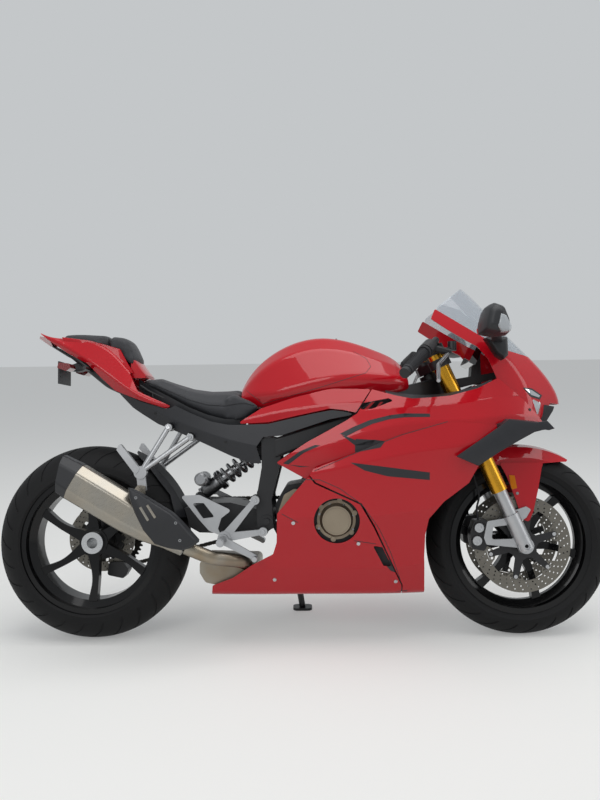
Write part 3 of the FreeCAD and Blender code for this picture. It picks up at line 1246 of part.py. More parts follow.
def nose_intake():
    """Dark block under the beak that fills the nose, hollowed by the air duct's mouth."""
    solid = cut_to(bubble_core(PANEL_WALL + SEAT_CLEAR), INTAKE_OUTLINE, -110.0, 110.0, 8.0)
    mouth = block(650.0, 900.0, -58.0, 58.0, 704.0, 742.0)
    return largest(solid.cut(mouth))


def tank():
    wires = []
    for x, *half in TANK_STATIONS:
        line = [(y, z, bend) for (y, z), bend in zip(half, TANK_BENDS)]
        line += [(-y, z, bend) for y, z, bend in reversed(line)]
        wires.append(corner_wire(line, in_cross_section(x)))
    body = loft(wires)
    seat = Part.makeCylinder(CAP_RADIUS + 2.0, 60.0, vec(CAP_X, 0, CAP_SEAT_Z), vec(0, 0, 1))
    neck = Part.makeCylinder(NECK_RADIUS, NECK_DEPTH + 40.0, vec(CAP_X, 0, CAP_SEAT_Z - NECK_DEPTH),
                             vec(0, 0, 1))
    return body.cut(seat).cut(neck)


CAP_HINGE_X = CAP_X + CAP_RADIUS - 3.0
CAP_HINGE_Z = CAP_SEAT_Z + 9.0


def fuel_cap():
    """Flap of the fuel filler, flat on its seat, with a lock boss and a hinge knuckle."""
    lid = Part.makeCylinder(CAP_RADIUS - 1.0, 7.0, vec(CAP_X, 0, CAP_SEAT_Z + 0.4), vec(0, 0, 1))
    rim_cut = Part.makeCylinder(CAP_RADIUS - 9.0, 4.0, vec(CAP_X, 0, CAP_SEAT_Z + 5.4),
                                vec(0, 0, 1))
    boss = Part.makeCylinder(13.0, 7.0, vec(CAP_X, 0, CAP_SEAT_Z + 2.0), vec(0, 0, 1))
    knuckle = disc(CAP_HINGE_X, CAP_HINGE_Z, -9.0, 9.0, 4.0)
    return fuse([lid.cut(rim_cut), boss, knuckle])


def seat():
    wires = []
    for x, half, low, high in SEAT_STATIONS:
        rise = high - low
        corners = [(half * 0.86, low, 10.0), (half, low + 0.45 * rise, 0.3 * rise),
                   (half * 0.72, high - 0.04 * rise, 0.4 * rise),
                   (-half * 0.72, high - 0.04 * rise, 0.4 * rise),
                   (-half, low + 0.45 * rise, 0.3 * rise), (-half * 0.86, low, 10.0)]
        wires.append(corner_wire(corners, in_cross_section(x)))
    main = loft(wires)
    return main


def seat_floor(x):
    """Height of the seat's underside at the length x."""
    for (x0, _, z0, _), (x1, _, z1, _) in zip(SEAT_STATIONS, SEAT_STATIONS[1:]):
        if x0 <= x <= x1:
            return z0 + (x - x0) / (x1 - x0) * (z1 - z0) - SEAT_CLEAR
    raise ValueError("no seat at that length")


def seat_tray():
    """Tray that carries the seat, pressed to the line of the seat's underside."""
    top = [(x, seat_floor(x)) for x in [-530.0] + [row[0] for row in SEAT_STATIONS[1:]]]
    outline = top + [(x, z - TRAY_THICK) for x, z in reversed(top)]
    return plate(outline, -98.0, 98.0)


def tail_pads():
    """Rear pad and the raised stop in front of it, on the tail's top."""
    rear = plate([(-800, 960), (-800, 1001), (-794, 1005), (-640, 995), (-640, 930)],
                 -58.0, 58.0, 2.0)
    stop = plate([(-637, 994), (-580, 987), (-560, 972), (-527, 916), (-531, 890), (-566, 900),
                  (-592, 930), (-637, 930)], -84.0, 84.0, 6.0)
    below = arch_core(TAIL_STATIONS, TAIL_BEND)
    below.translate(vec(0, 0, SEAT_CLEAR))
    return Part.makeCompound([largest(rear.cut(below)), largest(stop.cut(below))])


def tail_cowl():
    return cut_to(arch_skin(TAIL_STATIONS, PANEL_WALL, TAIL_BEND), TAIL_OUTLINE, -200, 200, 4.0)


def side_cover():
    panel = cut_to(skin(COVER_STATIONS, PANEL_WALL, 20.0), COVER_OUTLINE, 50.0, 300.0, 3.0)
    notches = [disc(x, z, 50.0, 300.0, 15.0) for x, z in PASSENGER_BOLTS]
    return largest(panel.cut(notches))


PLATE_HOLES_Z = 862.0
PLATE_HOLES_HALF = 50.0
PLATE_HOLE_RADIUS = 3.0
PLATE_FACE_X = -810.0


def under_tray():
    """Floor of the tail, with the arm under it and the small plate that carries the number."""
    floor = plate([(-600, 800), (-660, 848), (-712, 896), (-784, 934), (-834, 965),
                   (-834, 961), (-782, 928), (-706, 888), (-652, 840), (-596, 792)], -46.0, 46.0)
    arm = plate([(-700, 894), (-742, 916), (-800, 898), (-806, 888), (-760, 880)],
                -16.0, 16.0, 3.0)
    holder = block(PLATE_FACE_X, PLATE_FACE_X + 5.0, -62.0, 62.0, 838.0, 912.0)
    lamp = block(PLATE_FACE_X + 5.0, PLATE_FACE_X + 20.0, -22.0, 22.0, 898.0, 908.0)
    holes = [Part.makeCylinder(PLATE_HOLE_RADIUS, 20.0, vec(PLATE_FACE_X - 10.0, y, PLATE_HOLES_Z),
                               vec(1, 0, 0)) for y in (-PLATE_HOLES_HALF, PLATE_HOLES_HALF)]
    return fuse([floor, arm, holder, lamp]).cut(Part.makeCompound(holes))


def rear_lamps(cowl):
    """Slim turn lamps on short stalks either side of the plate's arm, and the tail lamp."""
    stalk = rod(vec(-775.0, 16.0, 890.0), vec(-775.0, 74.0, 890.0), 6.0)
    shell = plate([(-792, 884), (-786, 902), (-752, 898), (-748, 884), (-762, 874)],
                  70.0, 128.0, 5.0)
    turn_lamp = fuse([stalk, shell])
    tail = plate([(-880, 1000), (-850, 992), (-836, 962), (-846, 966), (-882, 992)],
                 -30.0, 30.0)
    return Part.makeCompound([turn_lamp, mirrored(turn_lamp), trim(tail, [cowl])])


def mirror_head():
    """Housing outside the screen on a three-cornered foot that rises from the cowl."""
    rows = ((232.0, [(548, 962), (560, 1006), (584, 1014), (602, 984), (602, 958)]),
            (300.0, [(530, 950), (548, 1030), (573, 1044), (604, 1006), (614, 948)]),
            (396.0, [(548, 966), (558, 1014), (574, 1024), (594, 990), (596, 962)]))
    head = loft([corner_wire(with_radius(points, 12.0), in_side_view(y)) for y, points in rows],
                smooth=False)
    return head


def mirror_foot():
    rows = ((118.0, [(556, 926), (600, 868), (626, 900)]), (250.0, [(552, 956), (598, 956), (578, 972)]))
    return loft([corner_wire(with_radius(points, 4.0), in_side_view(y)) for y, points in rows],
                smooth=False)


def cockpit_panel():
    """Dark filler between the side panel's top edge and the fork."""
    stations = ((256.0, [(190.0, 780.0), (172.0, 792.0), (158.0, 798.0)]),
                (400.0, [(192.0, 760.0), (166.0, 776.0), (152.0, 782.0)]),
                (592.0, [(180.0, 812.0), (158.0, 824.0), (152.0, 828.0)]))
    return skin(stations, 3.0, 8.0)


DASH_X, DASH_Z = 566.0, 922.0


def dash():
    """Display on its stay, tilted to the rider."""
    screen = block(-11.0, 11.0, -78.0, 78.0, -42.0, 42.0)
    screen.rotate(vec(0, 0, 0), ALONG_Y, 28.0)
    screen.translate(vec(DASH_X, 0.0, DASH_Z))
    return screen


def nose_stay(display, cowl):
    """Stay from the head tube to the nose: it carries the display and the cowl."""
    bar = plate([(432, 800), (432, 828), (520, 842), (650, 862), (662, 846), (524, 812)],
                -30.0, 30.0, 4.0)
    riser = plate([(DASH_X - 14, 826), (DASH_X - 6, DASH_Z), (DASH_X + 20, DASH_Z + 6),
                   (DASH_X + 22, 820)], -22.0, 22.0)
    cross = post_to(cowl, vec(650.0, 0.0, 852.0), vec(650.0, 220.0, 852.0), 8.0)
    return fuse([bar, trim(riser, [display]), cross, mirrored(cross)])


# Posts behind the fairings: x, z, where they spring from, and which panel they carry.
ENGINE_POSTS = ((150.0, 270.0, 110.0, "lower"), (0.0, 482.0, 110.0, "lower"),
                (236.0, 560.0, 116.0, "side"))
FRAME_POSTS = ((90.0, 657.0, 156.0, "upper"), (300.0, 738.0, 106.0, "upper"))
RADIATOR_POST = (350.0, 470.0, 150.0, "side")


def side_posts(rows, panels):
    """Posts on the left, each out to the panel named in its row."""
    return [post_to(panels[name], vec(x, y, z), vec(x, 280.0, z), 7.0) for x, z, y, name in rows]


def front_brake_hoses():
    """Hose down each leg from the lower yoke to the caliper."""
    top = leg_point(LOWER_YOKE_AT - YOKE_HALF, LEG_SPACING - 44.0, 8.0)
    cx, cz = FRONT_AXLE_X + CALIPER_AT[0], FRONT_AXLE_Z + CALIPER_AT[1]
    points = [top, top + vec(12, 6, -70), leg_point(300, LEG_SPACING - 16, -46),
              leg_point(200, LEG_SPACING - 12, -62), vec(cx - 6, FRONT_DISC_Y + 12, cz + 84),
              vec(cx - 2, FRONT_DISC_Y + 12, cz + 44)]
    return bent_rod(points, 3.2, 60.0)


def chassis_pieces(panels):
    """Frame, engine and exhaust, with the posts that carry the left and right panels."""
    motor = engine()
    strip_post = post_to(panels["strip"], vec(150.0, 145.0, 716.0), vec(150.0, 215.0, 778.0), 6.0)
    frame_posts = side_posts(FRAME_POSTS, panels) + [strip_post]
    frame = largest(fuse([main_frame()] + frame_posts + [mirrored(post) for post in frame_posts])
                    .cut(motor))
    engine_posts = [trim(post, [motor]) for post in side_posts(ENGINE_POSTS, panels)]
    cooler = radiator()
    cooler_posts = side_posts([RADIATOR_POST], panels)
    cooler_posts += [trim(rod(vec(300.0, 100.0, 596.0), vec(372.0, 100.0, 586.0), 8.0),
                          [motor, cooler])]
    cooler = fuse([cooler] + cooler_posts + [mirrored(post) for post in cooler_posts])
    clutch, generator = side_covers()
    can = exhaust_canister()
    link = trim(exhaust_link_pipe(), [can])
    pipes = fuse([exhaust_headers().cut(motor), exhaust_box(), link])
    return {
        "main_frame": frame,
        "engine_block": fuse([motor] + engine_posts + [mirrored(post) for post in engine_posts]),
        "engine_covers": Part.makeCompound([clutch, generator, gearbox_cover()]),
        "radiator": cooler,
        "exhaust_pipes": pipes,
        "exhaust_canister": can,
        "canister_cap": canister_cap(),
        "heat_shield": heat_shield(),
    }


def rear_pieces(panels, frame):
    """Rear frame, tail, arm and what is fastened to them."""
    cover, tail = panels["cover"], panels["tail"]
    posts = [post_to(cover, vec(-180.0, 108.0, 657.0), vec(-180.0, 200.0, 657.0), 7.0),
             post_to(cover, vec(-468.0, 84.0, 748.0), vec(-468.0, 180.0, 748.0), 6.0),
             post_to(tail, vec(-700.0, 56.0, 882.0), vec(-700.0, 140.0, 882.0), 6.0)]
    cushion = seat()
    cushion_space = cushion.copy()
    cushion_space.translate(vec(0, 0, -SEAT_CLEAR))
    carrier = trim(fuse([rear_frame()] + posts + [mirrored(post) for post in posts]),
                   [frame, cushion_space])
    arm = swingarm()
    right_bracket = rider_bracket()
    return {
        "rear_frame": carrier,
        "swingarm": arm,
        "rear_brake_caliper": trim(rear_caliper(), [arm]),
        "rear_hugger": rear_hugger(),
        "rear_shock": rear_shock(),
        "footrest_brackets": pair(right_bracket),
        "footrests": Part.makeCompound([footrests(), pair(foot_pedal())]),
        "passenger_brackets": Part.makeCompound([mirrored(pillion_bracket(True)),
                                                 pillion_bracket(False)]),
        "rider_seat": cushion,
        "tail_pads": tail_pads(),
        "tail_cowl": tail,
        "side_covers": pair(cover),
        "tail_floor": trim(under_tray(), [carrier]),
        "rear_lamps": rear_lamps(tail),
    }


def nose_pieces(panels, frame):
    """Nose, screen and what is fastened inside and outside them."""
    cowl, upper = panels["cowl"], panels["upper"]
    display = dash()
    return {
        "upper_cowl": cowl,
        "windscreen": windscreen(),
        "nose_intake": nose_intake(),
        "headlights": headlights(),
        "winglets": pair(trim(winglet(), [upper, panels["side"]])),
        "mirrors": pair(fuse([mirror_head(), seated(mirror_foot(), cowl, vec(0, SEAT_CLEAR, 0))])),
        "cockpit_panels": pair(seated(cockpit_panel(), upper, vec(0, -SEAT_CLEAR, 0))),
        "instrument_display": display,
        "nose_stay": trim(nose_stay(display, cowl), [frame]),
    }


def build():
    """All pieces of the upright motorcycle, by name."""
    lower_right, lower_left = lower_fairings()
    panels = {"side": side_fairing(), "lower": lower_left, "upper": upper_fairing(),
              "strip": tank_strip(), "cover": side_cover(), "tail": tail_cowl(),
              "cowl": upper_cowl()}
    pieces = {}
    pieces.update(front_wheel_pieces())
    pieces.update(rear_wheel_pieces())
    pieces.update(fork_pieces())
    pieces.update(chassis_pieces(panels))
    pieces.update(rear_pieces(panels, pieces["main_frame"]))
    pieces.update(nose_pieces(panels, pieces["main_frame"]))
    pieces["side_stand"] = side_stand()
    pieces["drive_chain"] = Part.makeCompound([chain(), front_sprocket()])
    pieces["side_fairings"] = pair(panels["side"])
    pieces["lower_fairings"] = Part.makeCompound([lower_right, lower_left])
    pieces["upper_fairings"] = Part.makeCompound([pair(panels["upper"]), pair(panels["strip"])])
    pieces["fuel_tank"] = trim(tank(), [pieces["main_frame"]])
    pieces["fuel_cap"] = fuel_cap()
    pieces["brake_hoses"] = pair(trim(front_brake_hoses(), [pieces["fork_yokes"], caliper()]))
    return pieces


def place(shape, shift):
    """Lean the upright piece to the left and move it to the motorcycle's own origin."""
    moved = shape.copy()
    moved.rotate(vec(0, 0, 0), vec(1, 0, 0), -math.degrees(LEAN))
    moved.translate(shift)
    return moved


def own_origin(pieces):
    """Shift that puts the origin under the middle of the leaned motorcycle, on the ground."""
    leaned = [place(shape, vec(0, 0, 0)) for shape in pieces.values()]
    box = FreeCAD.BoundBox()
    for shape in leaned:
        box.add(shape.optimalBoundingBox(True, False))
    return vec(-0.5 * (box.XMin + box.XMax), -0.5 * (box.YMin + box.YMax), -box.ZMin)


def main():
    os.makedirs("parts", exist_ok=True)
    pieces = build()
    shift = own_origin(pieces)
    for name, shape in pieces.items():
        place(shape, shift).exportStep(os.path.join("parts", name + ".step"))
    print("pieces", len(pieces), "origin shift", [round(value, 4) for value in shift])
    return pieces, shift


pieces, shift = main()
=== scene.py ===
# %% [markdown]
# A sport motorcycle, dressed for a picture.  The metal and moulded parts arrive as solids
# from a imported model, already in place.  This lesson gives each one its real finish, swaps
# the plain stand-ins for detailed pieces, and lights the whole in a plain studio.

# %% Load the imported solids
import math

import bmesh
import bpy
from mathutils import Matrix, Vector
from mathutils.bvhtree import BVHTree


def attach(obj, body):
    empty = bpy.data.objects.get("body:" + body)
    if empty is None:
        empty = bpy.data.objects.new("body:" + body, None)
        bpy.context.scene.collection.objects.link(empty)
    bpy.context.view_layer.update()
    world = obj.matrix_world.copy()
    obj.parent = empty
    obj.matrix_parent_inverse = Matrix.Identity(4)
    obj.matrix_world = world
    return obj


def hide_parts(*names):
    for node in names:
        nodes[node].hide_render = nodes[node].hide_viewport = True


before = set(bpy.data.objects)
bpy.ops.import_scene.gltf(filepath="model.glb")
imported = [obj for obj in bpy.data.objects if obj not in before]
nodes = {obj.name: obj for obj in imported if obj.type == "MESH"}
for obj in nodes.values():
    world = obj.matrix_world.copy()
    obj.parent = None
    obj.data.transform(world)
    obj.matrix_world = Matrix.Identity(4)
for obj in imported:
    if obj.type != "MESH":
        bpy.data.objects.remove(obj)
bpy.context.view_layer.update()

# %% [markdown]
# The solids were drawn with the bike upright and then leaned onto its side stand.  Every
# new piece is drawn upright too, in millimetres, and takes the same two steps: a turn about
# the line of travel, then the move to the model's own origin.

# %% The upright workbench and the way back to the parked bike
MM = 0.001
LEAN = math.radians(7.0)
ORIGIN_SHIFT = Vector((7.3882, -120.8803, 0.0))
TO_PARKED = (Matrix.Translation(ORIGIN_SHIFT * MM) @ Matrix.Rotation(-LEAN, 4, "X")
             @ Matrix.Scale(MM, 4))
TO_UPRIGHT = TO_PARKED.inverted()
FRONT_AXLE = Vector((697.5, 0.0, 300.45))
REAR_AXLE = Vector((-697.5, 0.0, 315.68))
ACROSS = Vector((0.0, 1.0, 0.0))
UPWARDS = Vector((0.0, 0.0, 1.0))
SIDES = (-1, 1)


def placed(name, data):
    """A new object of the scene."""
    made = bpy.data.objects.new(name, data)
    bpy.context.scene.collection.objects.link(made)
    return made


print("front axle parked at", [round(v, 4) for v in TO_PARKED @ FRONT_AXLE])

# %% [markdown]
# The camera stands about two and a half metres off, at chest height, and looks slightly
# down.  A real lens of 35 mm on a 36 mm frame gives the same mild perspective, so the near
# canister and fairing look a little larger than the far side.

# %% Camera
EYE = Vector((0.0264, -2.6339, 0.972))
PITCH, YAW, ROLL = math.radians(4.4), math.radians(0.74), math.radians(0.77)
LENS_MM = 35.1

camera = placed("camera", bpy.data.cameras.new("camera"))
camera.data.sensor_width = 36.0
camera.data.lens = LENS_MM
look_level = Vector((-math.sin(YAW), math.cos(YAW), 0.0))
right_level = Vector((math.cos(YAW), math.sin(YAW), 0.0))
look = look_level * math.cos(PITCH) - UPWARDS * math.sin(PITCH)
up_plain = look_level * math.sin(PITCH) + UPWARDS * math.cos(PITCH)
right_axis = right_level * math.cos(ROLL) - up_plain * math.sin(ROLL)
up_axis = right_level * math.sin(ROLL) + up_plain * math.cos(ROLL)
turn = Matrix((right_axis, up_axis, -look)).transposed().to_4x4()
camera.matrix_world = Matrix.Translation(EYE) @ turn
bpy.context.scene.camera = camera
print("camera looks along", [round(v, 3) for v in look])

# %% [markdown]
# Colours are written as sRGB hex codes and turned to linear by one function.  Another adds a
# node with its settings, and fills or links its inputs.

# %% Colour and node helpers


def linear(code):
    """Linear RGBA of an sRGB hex code."""
    parts = [int(code[i:i + 2], 16) / 255.0 for i in (1, 3, 5)]
    return tuple(c / 12.92 if c <= 0.04045 else ((c + 0.055) / 1.055) ** 2.4
                 for c in parts) + (1.0,)


def add(tree, kind, sockets=None, **settings):
    """Adds a node with its settings, and fills or links its input sockets."""
    node = tree.nodes.new(kind)
    for name, value in settings.items():
        setattr(node, name, value)
    for key, value in (sockets or {}).items():
        if isinstance(value, bpy.types.NodeSocket):
            tree.links.new(value, node.inputs[key])
        else:
            node.inputs[key].default_value = value
    return node


def new_material(name):
    """An empty material and its tree."""
    material = bpy.data.materials.new(name)
    material.use_nodes = True
    material.node_tree.nodes.clear()
    return material, material.node_tree


def seen_directly(tree):
    """1 for rays from the camera and for those that gloss or glass passes on, else 0."""
    path = add(tree, "ShaderNodeLightPath").outputs
    mirrored = add(tree, "ShaderNodeMath", {0: path["Is Camera Ray"], 1: path["Is Glossy Ray"]},
                   operation="MAXIMUM")
    return add(tree, "ShaderNodeMath", {0: mirrored.outputs[0], 1: path["Is Transmission Ray"]},
               operation="MAXIMUM").outputs[0]


print("helpers ready, mid grey is", round(linear("#808080")[0], 3))

# %% [markdown]
# A studio floor is a sheet of pale paper that runs level under the wheels.  Rays that go
# straight to the camera see a brighter paper and air, and so do the rays that mirror off
# paint and metal, while the light that bounces off them stays modest.

# %% Studio floor and backdrop
PAPER = "#D8D7D3"
FLOOR_HALF_M = 30.0

studio, tree = new_material("studio_paper")
paper = add(tree, "ShaderNodeBsdfDiffuse", {"Color": linear(PAPER)})
glow = add(tree, "ShaderNodeEmission", {"Color": linear("#F2F3F3"), "Strength": 0.26})
bright = add(tree, "ShaderNodeAddShader", {0: paper.outputs[0], 1: glow.outputs[0]})
sheet = add(tree, "ShaderNodeMixShader", {0: seen_directly(tree), 1: paper.outputs[0],
                                          2: bright.outputs[0]})
add(tree, "ShaderNodeOutputMaterial", {"Surface": sheet.outputs[0]})

bm = bmesh.new()
bmesh.ops.create_grid(bm, x_segments=2, y_segments=2, size=FLOOR_HALF_M)
floor = placed("studio_floor", bpy.data.meshes.new("studio_floor"))
bm.to_mesh(floor.data)
bm.free()
floor.data.materials.append(studio)

world = bpy.data.worlds.new("studio_air")
bpy.context.scene.world = world
world.use_nodes = True
tree = world.node_tree
tree.nodes.clear()
room = add(tree, "ShaderNodeBackground", {"Color": linear("#DDE3EA"), "Strength": 0.46})
backdrop = add(tree, "ShaderNodeBackground", {"Color": linear("#C4C7C9"), "Strength": 1.0})
seen = add(tree, "ShaderNodeMixShader", {0: seen_directly(tree),
                                         1: room.outputs[0], 2: backdrop.outputs[0]})
add(tree, "ShaderNodeOutputWorld", {"Surface": seen.outputs[0]})
print("floor", len(floor.data.polygons), "faces, paper", PAPER)

# %% [markdown]
# Three broad soft boxes light the bike the way an overcast sky with open sides does: a wide
# one overhead for the long highlight on the tank, one behind the camera for the side, and
# a weaker one from ahead that draws the edge of the nose.

# %% Soft boxes
SOFT_BOXES = (
    # name, place, aims at, width, height, watts
    ("overhead", (0.3, -0.6, 4.2), (0.0, 0.0, 0.4), 4.4, 3.0, 92.0),
    ("camera_side", (-2.0, -4.2, 2.9), (0.0, 0.0, 0.5), 2.6, 2.0, 46.0),
    ("ahead", (4.2, -1.6, 2.2), (0.4, 0.0, 0.6), 1.8, 2.0, 26.0),
)
for name, place, target, width, height, watts in SOFT_BOXES:
    lamp = bpy.data.lights.new(name, "AREA")
    lamp.shape = "RECTANGLE"
    lamp.size, lamp.size_y, lamp.energy = width, height, watts
    box = placed(name, lamp)
    box.location = place
    box.rotation_euler = (Vector(target) - Vector(place)).to_track_quat("-Z", "Y").to_euler()
bpy.context.scene.view_settings.view_transform = "Standard"
print("soft boxes", len(SOFT_BOXES))

# %% [markdown]
# Every finish is one principled shader whose patterns are measured in millimetres on the
# part.  One pattern blends two colours, another stirs the roughness and stands up as relief.
# Real grains finer than about half a millimetre are too fine to show in the picture, so they are
# drawn about a millimetre wide.


def in_mm(tree):
    """Object coordinates in millimetres."""
    place = add(tree, "ShaderNodeTexCoord").outputs["Object"]
    return add(tree, "ShaderNodeVectorMath", {0: place, "Scale": 1.0 / MM},
               operation="SCALE").outputs[0]


def grain(tree, size_mm, detail, stretch=None, vector=None):
    """Noise whose lumps are about size_mm across, longer along stretched axes."""
    vector = vector or in_mm(tree)
    if stretch:
        vector = add(tree, "ShaderNodeMapping", {"Vector": vector, "Scale": stretch}).outputs[0]
    return add(tree, "ShaderNodeTexNoise",
               {"Vector": vector, "Scale": 1.0 / size_mm, "Detail": detail}).outputs["Fac"]


def closed(material, sockets):
    """Closes a material with a principled shader."""
    tree = material.node_tree
    shader = add(tree, "ShaderNodeBsdfPrincipled", sockets)
    add(tree, "ShaderNodeOutputMaterial", {"Surface": shader.outputs[0]})
    return material


def surfaced(material, tint, colours, marks, roughness, relief, sockets):
    """Finish whose tint blends two colours, and whose marks stir roughness and stand up."""
    tree = material.node_tree
    dark, light = [linear(c) if isinstance(c, str) else c for c in colours]
    sockets["Base Color"] = add(tree, "ShaderNodeMix", {0: tint, 6: dark, 7: light},
                                data_type="RGBA").outputs[2]
    sockets["Roughness"] = roughness
    if isinstance(roughness, tuple):
        sockets["Roughness"] = add(tree, "ShaderNodeMapRange", {
            "Value": marks, "From Min": 0.3, "From Max": 0.7,
            "To Min": roughness[0], "To Max": roughness[1]}).outputs[0]
    if relief:
        depth_mm, strength = relief
        sockets["Normal"] = add(tree, "ShaderNodeBump", {
            "Height": marks, "Distance": depth_mm * MM, "Strength": strength}).outputs[0]
    return closed(material, sockets)


print("patterns are scaled by", 1.0 / MM, "to millimetres")

# %% [markdown]
# Red sprayed ABS: a coloured coat with very fine flakes under clear lacquer.  The lacquer
# gives the sharp reflections, so its roughness is tiny.  The flakes only stir the base colour
# a little, about every half millimetre.

# %% Painted and lacquered finishes
FLAKE_MM, PAINT_CLOUD_MM = 0.5, 90.0


def lacquer(name, colours, coat_roughness, coat_weight):
    """Sprayed colour under clear lacquer; the coat alone gives the gloss."""
    material, tree = new_material(name)
    return surfaced(material, grain(tree, FLAKE_MM, 2.0), colours,
                    grain(tree, PAINT_CLOUD_MM, 2.0), (0.30, 0.38), None,
                    {"Specular IOR Level": 0.1, "Coat Weight": coat_weight,
                     "Coat Roughness": coat_roughness, "Coat IOR": 1.5})


# sprayed ABS: an even red with long sharp highlights
red_lacquer = lacquer("red_lacquered_abs", ("#B40718", "#C60D1E"), 0.04, 0.75)
# cast wheels enamelled in an oven: near black, a softer gloss
black_lacquer = lacquer("black_lacquered_aluminium", ("#060607", "#0B0B0D"),
                        0.08, 0.45)
# moulded acrylic with prisms inside: a glowing amber with a dull shine
amber_lens = lacquer("amber_reflector_acrylic", ("#C86C00", "#DB8104"), 0.2, 0.25)
print("lacquers", red_lacquer.name, black_lacquer.name, amber_lens.name)

# %% [markdown]
# Moulded and powder coated parts have a fine grain that breaks the light.  ABS side panels
# carry a spark-eroded texture of under a millimetre, and powder coat on the frame has the
# softer orange peel of molten powder, about three millimetres across.  Tyre rubber is carbon
# black in a matt binder, and the bands are a matt cut film.

# %% Moulded and coated finishes
CLOUD_PER_GRAIN = 60.0


def moulded(name, colours, grain_mm, depth_mm, roughness, metallic=0.0, shine=0.5):
    """Surface with a fine raised grain in one or two tones."""
    material, tree = new_material(name)
    return surfaced(material, grain(tree, grain_mm * CLOUD_PER_GRAIN, 2.0), colours,
                    grain(tree, grain_mm, 4.0), roughness, (depth_mm, 0.6),
                    {"Metallic": metallic, "Specular IOR Level": shine})


# ABS moulded in a spark-eroded tool: a dull dark grey
grained_abs = moulded("grained_black_abs", ("#1B1C1F", "#232428"),
                      0.8, 0.05, (0.42, 0.56))
# ABS from a finer tool: a satin slate
slate_abs = moulded("slate_satin_abs", ("#1B1C20", "#232429"),
                    0.7, 0.03, (0.34, 0.44))
# powder melted onto metal: black with soft waves
powder_coat = moulded("black_powder_coat", ("#141416", "#1C1C1F"),
                      3.0, 0.05, (0.36, 0.48))
# soft pressed rubber: a matt black that greys with use
rubber_moulding = moulded("moulded_rubber", ("#17171A", "#222226"),
                          1.2, 0.06, (0.60, 0.78))
# vulcanised rubber with carbon black: the darkest and flattest
tyre_rubber = moulded("tyre_rubber", ("#0D0D0E", "#151516"),
                      0.9, 0.04, (0.58, 0.74), shine=0.28)
# cast vinyl film: a smooth matt charcoal
dark_film = moulded("matt_dark_film", ("#26272A", "#2C2D31"),
                    1.0, 0.01, (0.40, 0.50), shine=0.4)
print("mouldings", grained_abs.name, slate_abs.name, powder_coat.name, rubber_moulding.name)

# %% [markdown]
# Metals.  Cast aluminium is sand-blasted, so it is pale and grainy.  Machined faces keep a
# fine turning mark.  Anodising dyes the oxide skin of the fork tubes gold and keeps the
# metal's shine.  Mirror glass is silvered behind, so it acts as a smooth metal.

# %% Metal finishes


def drawn_metal(name, colours, along, roughness):
    """Metal brushed or turned along one direction, given as a stretch of the noise."""
    material, tree = new_material(name)
    return surfaced(material, grain(tree, 55.0, 3.0), colours,
                    grain(tree, 1.1, 3.0, along), roughness, (0.01, 0.4), {"Metallic": 1.0})


# sand-blasted casting: pale, with a broken shine
blasted_aluminium = moulded("blasted_cast_aluminium", ("#A9AAAC", "#BEBFC1"),
                            1.0, 0.05, (0.36, 0.50), 1.0)
# cast magnesium with a bronze coat: a warm dull metal
bronze_coat = moulded("bronze_coated_magnesium", ("#8E8272", "#A19583"),
                      1.2, 0.05, (0.42, 0.55), 1.0)
# drawn and anodised tube: gold, streaked along the fork
gold_anodised = drawn_metal("gold_anodised_tube", ("#C08A24", "#D9A43A"),
                            (1.0, 1.0, 0.05), (0.20, 0.32))
# aluminium turned on a lathe: bright, with fine rings
turned_aluminium = drawn_metal("turned_aluminium", ("#B4B5B7", "#CDCED0"),
                               (1.0, 0.08, 1.0), (0.22, 0.36))
# zinc-plated steel: grey, with a soft gleam
zinc_steel = moulded("zinc_plated_steel", ("#8C8D8F", "#A9AAAC"),
                     1.4, 0.02, (0.28, 0.42), 1.0)
# stainless disc, ground and heated by the pads: a brownish grey
disc_steel = moulded("ground_disc_steel", ("#6E6B65", "#807C74"),
                     1.0, 0.02, (0.34, 0.50), 1.0)
# phosphated and oiled steel: nearly black
dark_steel = moulded("phosphated_steel", ("#3A3936", "#4A4843"),
                     1.0, 0.03, (0.38, 0.55), 1.0)
# glass silvered behind: a clean bright reflection
mirror_glass = moulded("silvered_mirror_glass", ("#C9CDD0", "#D2D6D8"),
                       9.0, 0.001, (0.02, 0.04), 1.0)
print("metals", blasted_aluminium.name, bronze_coat.name, gold_anodised.name)

# %% [markdown]
# The canister's stainless sheet is brushed along its own slope, and heat tints the steel
# straw where the hot gas enters.  The bare header pipes are browner and rougher, because
# they are hotter still.

# %% Exhaust steel
CANISTER_SLOPE_DEG = 35.0
HEAT_CLOUDS = ((70.0, 3.0, 0.35, 0.65), (160.0, 1.0, 0.5, 0.8))


def exhaust_steel(name, cold, straw, brown, slope_deg, roughness):
    """Brushed stainless sheet with straw and brown heat tint in slow clouds."""
    material, tree = new_material(name)
    sloped = add(tree, "ShaderNodeMapping", {
        "Vector": in_mm(tree), "Rotation": (0.0, math.radians(slope_deg), 0.0)}).outputs[0]
    hairs = grain(tree, 1.25, 4.0, (0.03, 1.0, 1.0), sloped)
    warm, hot = [add(tree, "ShaderNodeMapRange", {
        "Value": grain(tree, size_mm, detail), "From Min": low, "From Max": high}).outputs[0]
        for size_mm, detail, low, high in HEAT_CLOUDS]
    tint = add(tree, "ShaderNodeMix", {0: warm, 6: linear(cold), 7: linear(straw)},
               data_type="RGBA").outputs[2]
    return surfaced(material, hot, (tint, brown), hairs, roughness,
                    (0.015, 0.5), {"Metallic": 1.0})


# brushed stainless sheet: long streaks, a little straw
canister_steel = exhaust_steel("brushed_canister_steel", "#9B978F", "#A19A8E", "#8B8275",
                               CANISTER_SLOPE_DEG, (0.24, 0.36))
